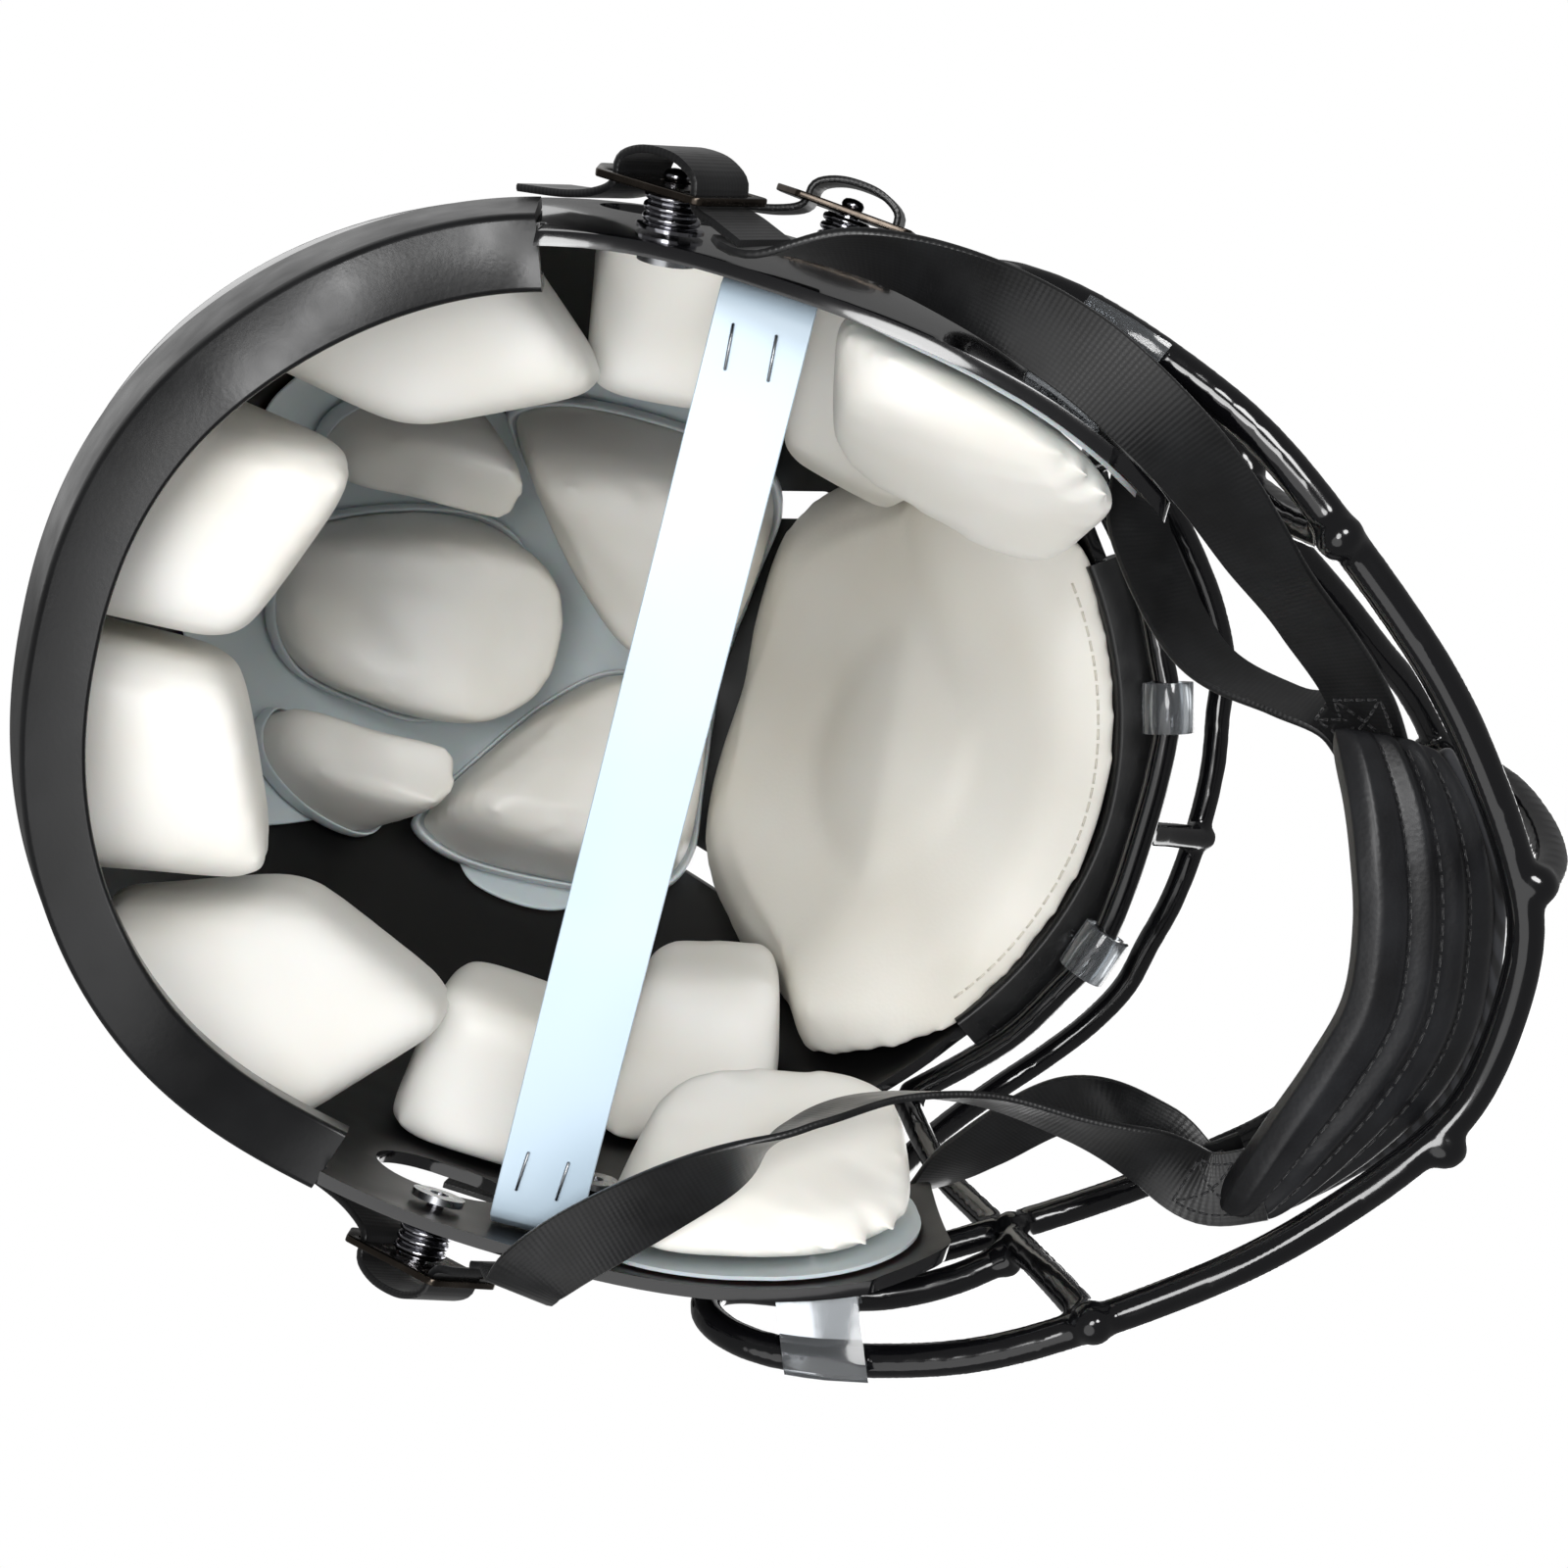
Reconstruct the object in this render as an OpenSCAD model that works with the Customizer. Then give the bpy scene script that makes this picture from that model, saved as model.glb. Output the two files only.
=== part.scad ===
// Football helmet with a bolted wire face mask, foam pads and a four point
// chin strap. Millimetres. X runs to the wearer's left, Y to the back, Z up.
// Y is zero under the middle of the overall length, Z is zero on the table.

/* [Shell] */
// Half the width at the widest level
shell_half_w = 127; // [123:1:131]
// Reach of the shell ahead of the ear line
shell_front = 130; // [128:1:132]
// Reach of the shell behind the ear line
shell_back = 162; // [157:1:168]
// Height of the crown above the table
shell_top = 258; // [252:1:266]
// Level at which the shell is widest
belt_z = 125; // [120:1:132]
// Wall of the shell
shell_t = 3.4; // [2.8:0.2:4.4]
// Height of the brow edge above the table
brow_z = 146; // [144:1:150]
// Radius of the corners of the face opening
opening_r = 12; // [8:1:16]
// Length of an ear hole
ear_l = 34; // [28:1:38]
// Height of an ear hole
ear_h = 28; // [22:1:30]
// Height of the middle of an ear hole
ear_z = 62; // [58:1:64]
// Distance of an ear hole behind the ear line
ear_y = 26; // [22:1:30]
// Length of a crown vent slot
vent_l = 34; // [20:1:38]
// Width of a crown vent slot
vent_w = 9; // [6:1:12]

/* [Bumpers] */
// Height of the rear bumper's ends above the table
bumper_end_z = 19; // [15:1:23]
// Distance of the rear bumper's ends behind the ear line
bumper_end_y = 47; // [44:1:50]
// Thickness of the rear bumper under the shell's edge
bumper_web = 4.5; // [3.5:0.5:6]
// Thickness of the bumpers outside the shell
bumper_lip = 2.6; // [2:0.2:3.2]
// Height of the rear bumper's outer lip
bumper_h = 24; // [18:1:28]
// Depth of the rear bumper's shelf inside the shell
bumper_shelf = 15; // [12:1:17]
// Height of the front bumper's outer lip
brow_lip_h = 9; // [7:1:12]
// Depth of the front bumper's inner lip behind the shell's face
brow_shelf = 6.6; // [6.6:0.2:8]

/* [Face mask] */
// Diameter of the coated mask wire
wire_d = 7.4; // [6.4:0.2:7.8]
// Reach of the chin bar ahead of the ear line
chin_reach = 182; // [178:1:185]
// Reach of the mouth bar ahead of the ear line
mouth_reach = 198; // [194:1:202]
// Level of the mouth bar at its middle
mouth_z = 100; // [94:1:106]
// Clearance of the lower brow bar's middle ahead of the shell's face
brow_gap = 2; // [1:0.5:4]
// Reach of the upper brow bar ahead of the ear line
top_reach = 154.5; // [153:0.5:160]
// Diameter of the mask screws
screw_d = 5; // [4:0.5:6]
// Width of a mask clip
clip_w = 18; // [14:1:20]

/* [Chin strap] */
// Width of the webbing
strap_w = 16; // [12:1:18]
// Thickness of the webbing
strap_t = 1.6; // [1.2:0.1:2]
// Height of a snap post's rings above the shell
post_h = 8; // [7:0.5:10]
// Diameter of a snap post
post_d = 12; // [10:0.5:14]
// Thickness of a buckle plate
buckle_t = 1.6; // [1.2:0.2:2]
// Half the width of the chin cup
cup_half_w = 54; // [50:1:56]
// Thickness of the chin cup's padding
cup_t = 7; // [5:0.5:8]
// Sideways hang of the chin cup
cup_x = 6; // [3:1:8]

/* [Pads] */
// Thickness of the rear and side pads
pad_t = 38; // [32:1:40]
// Thickness of the crown pads
crown_t = 43; // [36:1:45]
// Thickness of the front pad
front_t = 22; // [16:1:24]

/* [Spreader] */
// Width of the spreader strip
strip_w = 20; // [16:1:24]
// Thickness of the spreader strip
strip_t = 1.2; // [0.8:0.1:2]
// Height of the strip above the table
strip_z = 22; // [20:1:24]

/* [Hidden] */
// Clearance between pieces that lie against each other
gap = 0.3;
wire_r = wire_d / 2;
brow_reach = shell_front + brow_gap;
// Places typed below are for the shell as drawn, and fitted() moves them with the real sizes: half width,
// reaches to the front and back, widest level and height
as_drawn = [127, 130, 162, 125, 258];
// The wires as drawn: reach of the chin, mouth, lower brow and upper brow bar
wires_drawn = [182, 198, 132, 154.5];
wide = shell_half_w / as_drawn[0];
function long(y) = y * (y > 0 ? shell_back / as_drawn[2] : shell_front / as_drawn[1]);
function level(z) = z <= as_drawn[3] ? z * belt_z / as_drawn[3]
    : belt_z + (z - as_drawn[3]) * (shell_top - belt_z) / (as_drawn[4] - as_drawn[3]);
function fitted(p) = [p[0] * wide, long(p[1]), level(p[2])];
// Facets round a wire and round the shell
wire_sides = 8;
shell_sides = 56;
// Exponents of the shell's plan section, of its low front and of its dome
plan_n = 2.2;
brow_n = 1.9;
jaw_n = 2.6;
dome_n = 2.2;
// Share by which the shell draws in from its widest level down to the table, and its exponent
taper_w = 0.2;
taper_f = 0.08;
taper_b = 0.27;
taper_n = 1.7;
// Distance behind the ear line at which the shell is widest
wide_y = 5;
// Middle of the overall length, which becomes y = 0
y_mid = (mouth_reach + wire_r - shell_back) / 2;

// Vector and curve helpers
function unit(v) = v / norm(v);
function flip(p) = [-p[0], p[1], p[2]];
function reversed(list) = [for (i = [len(list) - 1:-1:0]) list[i]];
function mirrored(half) = concat(reversed([for (i = [1:len(half) - 1]) flip(half[i])]), half);
function spline_at(a, b, c, d, t) =
    0.5 * (2 * b + (c - a) * t + (2 * a - 5 * b + 4 * c - d) * t * t + (3 * b - a - 3 * c + d) * t * t * t);
function spline(pts, steps) = concat([for (i = [0:len(pts) - 2], j = [0:steps - 1])
    spline_at(pts[max(i - 1, 0)], pts[i], pts[i + 1], pts[min(i + 2, len(pts) - 1)], j / steps)],
    [pts[len(pts) - 1]]);
function tangent(p, i) = unit(p[min(i + 1, len(p) - 1)] - p[max(i - 1, 0)]);
function carried(p, i, side) =
    let (t = tangent(p, i), s = unit(side - t * (side * t)))
    i == len(p) - 1 ? [s] : concat([s], carried(p, i + 1, s));
function spow(v, n) = sign(v) * pow(abs(v), n);
function clamp(v, low, high) = max(low, min(high, v));
// Point of a wire's route: across with the shell, and forward with the wire's own reach
function routed(p, now, then) = [p[0] * wide,
    p[1] * (1 + (now / then - 1) * clamp((-p[1] - 60) / (then - 60), 0, 1)), p[2]];
function route(pts, now, then) = [for (p = pts) routed(p, now, then)];

// Shape of the shell: its half plan sizes at a level, d inside the outer surface
function dome(z, d) = z <= belt_z ? 1
    : pow(max(0, 1 - pow((z - belt_z) / (shell_top - d - belt_z), dome_n)), 1 / dome_n);
function drawn(z, taper) = z >= belt_z ? 1 : 1 - taper * pow((belt_z - z) / belt_z, taper_n);
function half_w(z, d) = (shell_half_w - d) * dome(z, d) * drawn(z, taper_w);
function reach(z, d, back) = back ? (shell_back - wide_y - d) * dome(z, d) * drawn(z, taper_b)
    : (shell_front + wide_y - d) * dome(z, d) * drawn(z, taper_f);
function plan(z, back) = back ? plan_n : brow_n + (jaw_n - brow_n) * clamp(1 - z / belt_z, 0, 1);
// Point on the surface at azimuth a, which is 0 at the left side and 90 at the back
function shell_pt(a, z, d = 0) = let (back = sin(a) > 0, n = plan(z, back))
    [half_w(z, d) * spow(cos(a), 2 / n), wide_y + reach(z, d, back) * spow(sin(a), 2 / n), z];
// Point on the left side at a distance behind the ear line
function side_pt(y, z, d = 0) = let (back = y > wide_y, n = plan(z, back))
    [half_w(z, d) * pow(max(0, 1 - pow(abs(y - wide_y) / reach(z, d, back), n)), 1 / n), y, z];
// Point on the front at a distance from the middle plane
function front_pt(x, z, d = 0) = let (n = plan(z, false))
    [x, wide_y - reach(z, d, false) * pow(1 - pow(abs(x) / half_w(z, d), n), 1 / n), z];
// Point of the dome in line with the middle of the belt and the point p
function dome_pt(p, d = 0) = let (v = p - [0, wide_y, belt_z], n = plan(belt_z, v[1] > 0),
    ring = pow(abs(v[0]) / half_w(belt_z, d), n) + pow(abs(v[1]) / reach(belt_z, d, v[1] > 0), n),
    w = pow(ring, dome_n / n) + pow(max(v[2], 0) / (shell_top - d - belt_z), dome_n))
    v / pow(w, 1 / dome_n) + [0, wide_y, belt_z];
// Outward direction on the left side, and a frame that stands on it
function side_out(y, z) = unit(cross(side_pt(y + 1, z) - side_pt(y - 1, z),
    side_pt(y, z + 1) - side_pt(y, z - 1)));
module seat(p, out, along) {
    x = unit(along - out * (along * out));
    y = cross(out, x);
    multmatrix([[x[0], y[0], out[0], p[0]], [x[1], y[1], out[1], p[1]], [x[2], y[2], out[2], p[2]],
        [0, 0, 0, 1]]) children();
}
module placed() translate([0, y_mid, 0]) children();
module right() mirror([1, 0, 0]) children();

// Closed skin over equal rings of points, capped at both ends by a fan
module rings(rows, loop = false, cap = undef) {
    n = len(rows[0]);
    m = len(rows);
    last = loop ? m - 1 : m - 2;
    skin = [for (i = [0:last], k = [0:n - 1], half = [0, 1])
        let (a = i * n + k, b = i * n + (k + 1) % n, c = ((i + 1) % m) * n + k,
            e = ((i + 1) % m) * n + (k + 1) % n)
        half == 0 ? [a, c, e] : [a, e, b]];
    first = is_undef(cap) ? [for (k = [1:n - 2]) [0, k, k + 1]] : cap;
    caps = loop ? [] : concat(first, [for (f = first) [for (i = [2:-1:0]) (m - 1) * n + f[i]]]);
    polyhedron([for (row = rows) each row], concat(skin, caps), convexity = 10);
}
// Round tube along a path
module tube(path, r, sides = wire_sides) {
    frames = carried(path, 0, [0.13, 0.21, 0.97]);
    rings([for (i = [0:len(path) - 1])
        let (t = tangent(path, i), u = frames[i], v = cross(t, u))
        [for (k = [0:sides - 1]) path[i] + r * (cos(360 * k / sides) * u + sin(360 * k / sides) * v)]]);
}
// Flat band along a path; each station's face looks along its own direction
module ribbon(path, faces, w, t) rings([for (i = [0:len(path) - 1])
    let (d = tangent(path, i), side = unit(cross(faces[i], d)), up = unit(cross(d, side)))
    [for (c = [[-1, -1], [1, -1], [1, 1], [-1, 1]]) path[i] + side * c[0] * w / 2 + up * c[1] * t / 2]]);

// Outer shell
low_rows = 5;
dome_rows = 9;
row_z = concat([for (i = [0:low_rows]) i == 0 ? -1 : belt_z * i / low_rows],
    [for (i = [1:dome_rows - 1]) belt_z + (shell_top - belt_z) * pow(sin(90 * i / dome_rows), 2 / dome_n)]);
function wall_z(i, d) = row_z[i] <= belt_z ? row_z[i]
    : belt_z + (row_z[i] - belt_z) * (shell_top - d - belt_z) / (shell_top - belt_z);
module shell_wall() {
    n = shell_sides;
    m = len(row_z);
    skin = [for (d = [0, shell_t], i = [0:m - 1], k = [0:n - 1]) shell_pt(360 * k / n, wall_z(i, d), d)];
    pts = concat(skin, [[0, wide_y, shell_top], [0, wide_y, shell_top - shell_t]]);
    outer = [for (i = [0:m - 2], k = [0:n - 1], h = [0, 1])
        let (a = i * n + k, b = i * n + (k + 1) % n) h == 0 ? [a, a + n, b + n] : [a, b + n, b]];
    inner = [for (i = [0:m - 2], k = [0:n - 1], h = [0, 1])
        let (a = (m + i) * n + k, b = (m + i) * n + (k + 1) % n) h == 0 ? [a, b + n, a + n] : [a, b, b + n]];
    top = [for (k = [0:n - 1]) [(m - 1) * n + k, 2 * m * n, (m - 1) * n + (k + 1) % n]];
    roof = [for (k = [0:n - 1]) [(2 * m - 1) * n + k, (2 * m - 1) * n + (k + 1) % n, 2 * m * n + 1]];
    rim = [for (k = [0:n - 1], h = [0, 1])
        let (a = k, b = (k + 1) % n, c = m * n + k, e = m * n + (k + 1) % n)
        h == 0 ? [a, b, e] : [a, e, c]];
    polyhedron(pts, concat(outer, inner, top, roof, rim), convexity = 10);
}
// Level of the helmet's lower edge along its length
flat_y = bumper_end_y + long(57);
jaw_low_y = long(-45);
jaw_low_z = 2;
step_z = 4;
function rim_z(y) = y > bumper_end_y
    ? bumper_end_z * 0.5 * (1 + cos(180 * clamp((y - bumper_end_y) / (flat_y - bumper_end_y), 0, 1)))
    : jaw_low_z + 0.5 * (1 - cos(180 * clamp((y - jaw_low_y) / (bumper_end_y - jaw_low_y), 0, 1)))
        * (bumper_end_z - step_z - jaw_low_z);
cut_w = 2 * shell_half_w + 20;
module from_side(w) rotate([90, 0, 90]) linear_extrude(w, center = true) children();
module bottom_cut() from_side(cut_w) polygon(concat(
    [[-shell_front - 20, -20], [-shell_front - 20, jaw_low_z]],
    [for (i = [0:11]) let (y = between(long(-61), bumper_end_y - 1, i / 11)) [y, rim_z(y)]],
    [[bumper_end_y, rim_z(bumper_end_y)]],
    [for (i = [0:18]) let (y = bumper_end_y + 0.01 + i * (flat_y - bumper_end_y) / 18)
        [y, rim_z(y) + bumper_web]],
    [[shell_back + 20, bumper_web], [shell_back + 20, -20]]));
// Side outline of the face opening, in front of the jaw flap and under the brow
flap_tip_y = long(-88);
flap_low_z = 12;
flap_top_z = 64;
module face_cut() from_side(cut_w) offset(r = -opening_r / 2) offset(r = opening_r * 1.5)
    offset(delta = -opening_r) polygon([[-shell_front - 60, -60], [flap_tip_y + 26, -60],
        [flap_tip_y + 18, jaw_low_z], [flap_tip_y, flap_low_z], [flap_tip_y - 1, flap_top_z],
        [flap_tip_y + 18, flap_top_z + 13], [flap_tip_y + 26, flap_top_z + 30],
        [flap_tip_y + 24, brow_z - 22], [flap_tip_y + 8, brow_z - 7], [flap_tip_y - 12, brow_z],
        [-shell_front - 60, brow_z]]);
// Vent slots at the front of the crown, as seen from above
vent_x = 62 * wide;
vent_y = -12;
module vents() for (s = [-1, 1]) translate([s * vent_x, vent_y, shell_top - 40]) rotate([0, 0, s * 14])
    linear_extrude(80, center = true) {
        square([vent_w, vent_l - vent_w], center = true);
        for (e = [-1, 1]) translate([0, e * (vent_l - vent_w) / 2]) circle(d = vent_w, $fn = 24);
    }
module ear_holes() translate([0, ear_y, ear_z]) from_side(cut_w) {
    square([ear_l - ear_h, ear_h], center = true);
    for (e = [-1, 1]) translate([e * (ear_l - ear_h) / 2, 0]) circle(d = ear_h, $fn = 36);
}
module outer_shell() color("#0b0b0d") placed() difference() {
    shell_wall();
    bottom_cut();
    face_cut();
    vents();
    ear_holes();
    for (s = [0, 1]) mirror([s, 0, 0]) {
        clip_holes();
        post_holes();
    }
}

// A bumper section swept along an edge of the shell; each station is azimuth and level
band_cap = [[0, 1, 4], [1, 2, 4], [2, 3, 4], [0, 4, 11], [4, 5, 11], [5, 10, 11], [5, 9, 10], [5, 6, 9],
    [6, 8, 9], [6, 7, 8]];
module edge_band(stations, section) rings([for (s = stations)
    [for (q = section) shell_pt(s[0], s[1] + q[1], q[0])]], cap = band_cap);
// Azimuths from one end of a band to the other, with the shell's own corners between
function band_azimuths(start, end, parts = 1) = let (step = 360 / shell_sides / parts)
    concat([start], [for (k = [ceil(start / step + 0.3):floor(end / step - 0.3)]) k * step], [end]);
function band_section(lip, web, shelf, lip_h, up) = [[-gap - lip, 2.2], [-gap - lip, lip_h - 1.4],
    [-gap - lip + 1.2, lip_h], [-gap, lip_h], [-gap, web - gap], [shelf - 3, web - gap], [shelf - 3, up - 1],
    [shelf - 1.3, up], [shelf, up - 1.3], [shelf, 1.5], [shelf - 1.5, 0], [-gap - lip + 2.2, 0]];
// Azimuth at which an edge at level z reaches distance y behind the ear line
function azimuth(y, z) = let (back = y > wide_y) sign(y - wide_y)
    * asin(pow(abs(y - wide_y) / reach(z, 0, back), plan(z, back) / 2));
// Level of the rear bumper's foot at azimuth a, from an earlier value of it
function band_z(a, z) = rim_z(shell_pt(a, z + bumper_web)[1]);
module rear_bumper() {
    start = azimuth(bumper_end_y + 3 * gap, bumper_end_z);
    color("#111113") placed() edge_band([for (a = reversed(band_azimuths(start, 180 - start, 2)))
        [a, band_z(a, band_z(a, band_z(a, 5)))]],
        band_section(bumper_lip, bumper_web, bumper_shelf, bumper_h, 10));
}
brow_end_y = long(-103);
brow_web = 2.5;
module front_bumper() {
    start = azimuth(brow_end_y, brow_z);
    o = -gap - bumper_lip;
    n = shell_t + 1;
    color("#111113") placed() rings([for (a = reversed(band_azimuths(-180 - start, start)))
        [for (q = [[o, 1.2], [o, brow_lip_h - 1.2], [o + 1.2, brow_lip_h], [-gap, brow_lip_h],
        [-gap, brow_web - gap], [n, brow_web - gap], [n, brow_lip_h - 1], [brow_shelf - 0.8, brow_lip_h - 1],
        [brow_shelf, brow_lip_h - 2], [brow_shelf, 1.2], [brow_shelf - 1.2, 0], [o + 1.2, 0]])
        shell_pt(a, brow_z - brow_web + q[1], q[0])]], cap = band_cap);
}

// Routes of the mask wires, half of each from the middle to the left side
chin_half = route([[0, -182, wire_r], [16, -180.5, wire_r], [28, -175.5, wire_r], [45, -163.5, wire_r],
    [64, -146.5, 4.5], [85, -120.5, 5.5], [99.5, -100, 8.5], [109, -80, 13],
    [115.5, -62, 19], [118, -50, 25], [118.8, -43, 34], [118.5, -43.5, 44], [118, -51, 50],
    [116.5, -66, 52], [112.5, -84, 53], [105.5, -99, 54.5], [97, -110.5, 56]],
    chin_reach, wires_drawn[0]);
mouth_half = route([[0, -198, mouth_z], [26, -196.5, mouth_z], [44, -189.5, mouth_z - 3],
    [57, -175, mouth_z - 12], [66, -159, mouth_z - 21], [74, -146, mouth_z - 26], [83, -130.5, 70],
    [93, -113, 67], [102, -98, 66], [109.5, -84, 65], [114.5, -70, 63.5]], mouth_reach, wires_drawn[1]);
bar_z = brow_z - 10;
lower_half = route([[0, -132, bar_z], [20, -131.4, bar_z], [36, -129, bar_z + 0.5], [51, -122.2, bar_z + 2],
    [66, -114.2, bar_z + 4], [79.5, -103.4, bar_z + 7], [93.5, -91.5, bar_z + 12]],
    brow_reach, wires_drawn[2]);
upper_half = route([[0, -154.5, bar_z + 27], [20, -153.5, bar_z + 27.5], [36, -150.5, bar_z + 28.5],
    [50, -148, bar_z + 29.5], [64, -141, bar_z + 30], [77, -131, bar_z + 29], [89.5, -118.7, bar_z + 25],
    [100, -106.5, bar_z + 16], [108.5, -95, 137], [114, -86, 118], [116.5, -79, 98], [116.5, -73, 81],
    [114.8, -71, 65]], top_reach, wires_drawn[3]);
strut_path = concat(route([[84.5, -119.5, 4], [87, -115.5, 26]], chin_reach, wires_drawn[0]),
    route([[93, -112.5, 56], [97, -106.5, 82]], mouth_reach, wires_drawn[1]),
    route([[99.5, -99, 112], [96, -91.5, bar_z + 10]], brow_reach, wires_drawn[2]));
post_path = concat(route([[28.5, -179, 3], [33, -187.5, 20]], chin_reach, wires_drawn[0]),
    [between(routed([38.5, -193, 44], chin_reach, wires_drawn[0]),
        routed([38.5, -193, 44], mouth_reach, wires_drawn[1]), 0.5)],
    route([[43.5, -194, 70], [46.5, -186, mouth_z - 3]], mouth_reach, wires_drawn[1]));
module wire(path) color("#0c0c0e") placed() tube(path, wire_r);
module chin_bar() wire(spline(mirrored(chin_half), 2));
module mouth_bar() wire(spline(mirrored(mouth_half), 2));
module lower_brow_bar() wire(spline(mirrored(lower_half), 2));
module upper_brow_bar() wire(spline(mirrored(upper_half), 2));
module brow_stub() wire([[0, -brow_reach, bar_z + 1], [0, -(brow_reach + top_reach) / 2, bar_z + 14],
    [0, -top_reach - 3, bar_z + 27.5]]);
module strut_left() wire(spline(strut_path, 2));
module strut_right() right() strut_left();
module chin_post_left() wire(spline(post_path, 2));
module chin_post_right() right() chin_post_left();

// Mask clips: the top pair holds the lower brow bar, the side pair both runs of the chin bar
top_clip_z = brow_z + 14;
side_clip_y = long(-64);
side_clip_z = 35;
clip_t = 2.6;
clip_play = 0.6;
clip_lift = 0.5;
screw_play = 0.8;
head_h = 2.4;
nut_h = 3;
lining = shell_t + 1;
bar_pt = lower_half[2];
bar_dir = unit(lower_half[3] - lower_half[1]);
side_plate = 5;
function front_out(x, z) = unit(cross(front_pt(x + 1, z) - front_pt(x - 1, z),
    front_pt(x, z + 1) - front_pt(x, z - 1)));
// Screw places on the left side, as frames that stand on the shell
module top_seat() seat(front_pt(bar_pt[0], top_clip_z), front_out(bar_pt[0], top_clip_z), [0, 0, 1])
    children();
module side_seat() seat(side_pt(side_clip_y, side_clip_z), side_out(side_clip_y, side_clip_z), [0, 0, 1])
    children();
module clip_holes() {
    top_seat() translate([0, 0, -15]) cylinder(d = screw_d + screw_play, h = 30, $fn = 24);
    side_seat() translate([0, 0, -15]) cylinder(d = screw_d + screw_play, h = 30, $fn = 24);
}
// Place of a point in the plane across the brow bar: up and outward
bar_up = unit([0, 0, 1] - bar_dir * bar_dir[2]);
bar_out = cross(bar_dir, bar_up);
function across(p) = [(p - bar_pt) * bar_up, (p - bar_pt) * bar_out];
lip_top = brow_z - brow_web + brow_lip_h;
module top_clip_left() {
    over = -(gap * 3 + bumper_lip);
    leg = concat([for (z = [bar_pt[2] - 1, (bar_pt[2] + lip_top) / 2, lip_top + 1]) [z, over]],
        [for (z = [lip_top + 1.5, (lip_top + top_clip_z) / 2 + 2, top_clip_z + 3, top_clip_z + 9])
            [z, -clip_lift]]);
    color("#9aa0a4", 0.6) placed() difference() {
        seat(bar_pt, bar_dir, [0, 0, 1]) linear_extrude(clip_w - 4, center = true) difference() {
            union() {
                circle(wire_r + clip_play + clip_t, $fn = 28);
                polygon(concat([for (q = leg) across(front_pt(bar_pt[0], q[0], q[1]))],
                    reversed([for (q = leg) across(front_pt(bar_pt[0], q[0], q[1] - clip_t))])));
            }
            circle(wire_r + clip_play, $fn = 28);
        }
        clip_holes();
    }
}
module top_clip_right() right() top_clip_left();

// Where a path crosses the plane s along an axis from o
function meet(path, o, ax, s) = [for (i = [0:len(path) - 2])
    let (a = (path[i] - o) * ax - s, b = (path[i + 1] - o) * ax - s)
    if (a * b <= 0 && a != b) path[i] + (path[i + 1] - path[i]) * a / (a - b)][0];
function arc(c, r, angles) = [for (a = angles) c + r * [cos(a), sin(a)]];
module strip_rings(rows) {
    m = len(rows[0]);
    rings(rows, cap = [for (i = [0:m / 2 - 2], h = [0, 1])
        h == 0 ? [i, i + 1, m - 2 - i] : [i, m - 2 - i, m - 1 - i]]);
}
module side_clip_left() {
    o = side_pt(side_clip_y, side_clip_z);
    out = side_out(side_clip_y, side_clip_z);
    up = unit([0, 0, 1] - out * out[2]);
    ax = cross(out, up);
    low_run = spline([for (i = [4:10]) chin_half[i]], 2);
    back_run = spline([for (i = [10:16]) chin_half[i]], 2);
    r = wire_r + clip_play;
    big = r + 2.6;
    base = clip_lift;
    module body() strip_rings([for (s = [-clip_w / 2, -clip_w / 4, 0, clip_w / 4, clip_w / 2])
        let (pl = meet(low_run, o, ax, s) - o, pu = meet(back_run, o, ax, s) - o,
            l = [pl * up, pl * out], u = [pu * up, pu * out],
            low = concat(arc(u, big, [25, -10, -45]), [for (q = [3, 0, -3, -5, -7]) [u[0] + q, base]],
                [for (q = [7, 5, 3, 0, -3]) [l[0] + q, base]], arc(l, big, [-135, -170, -205])),
            high = concat(arc(u, r, [25, -10, -50, -90, -135, -180]), [[u[0] - big, u[1]]],
                [[u[0] - big - 0.5, side_plate], [l[0] + big + 0.5, side_plate]], [[l[0] + big, l[1]]],
                arc(l, r, [0, -45, -90, -130, -170, -205])))
        [for (q = concat(low, reversed(high))) o + up * q[0] + out * q[1] + ax * s]]);
    color("#9aa0a4", 0.6) placed() difference() {
        body();
        clip_holes();
    }
}
module side_clip_right() right() side_clip_left();
module screw(top) {
    translate([0, 0, top]) cylinder(d1 = screw_d * 1.9, d2 = screw_d * 1.5, h = head_h, $fn = 32);
    translate([0, 0, -lining - nut_h - gap]) cylinder(d = screw_d, h = top + lining + nut_h + 1, $fn = 32);
}
module mask_screws() color("#5b5f63") placed() for (s = [0, 1]) mirror([s, 0, 0]) {
    top_seat() screw(clip_lift + clip_t + gap);
    side_seat() screw(side_plate + gap);
}
module nut() translate([0, 0, -lining - nut_h]) difference() {
    cylinder(r = screw_d * 1.05, h = nut_h, $fn = 32);
    translate([0, 0, -1]) cylinder(d = screw_d + gap, h = nut_h + 2, $fn = 32);
}
module mask_nuts() color("#8b9094") placed() for (s = [0, 1]) mirror([s, 0, 0]) {
    top_seat() nut();
    side_seat() nut();
}

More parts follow.
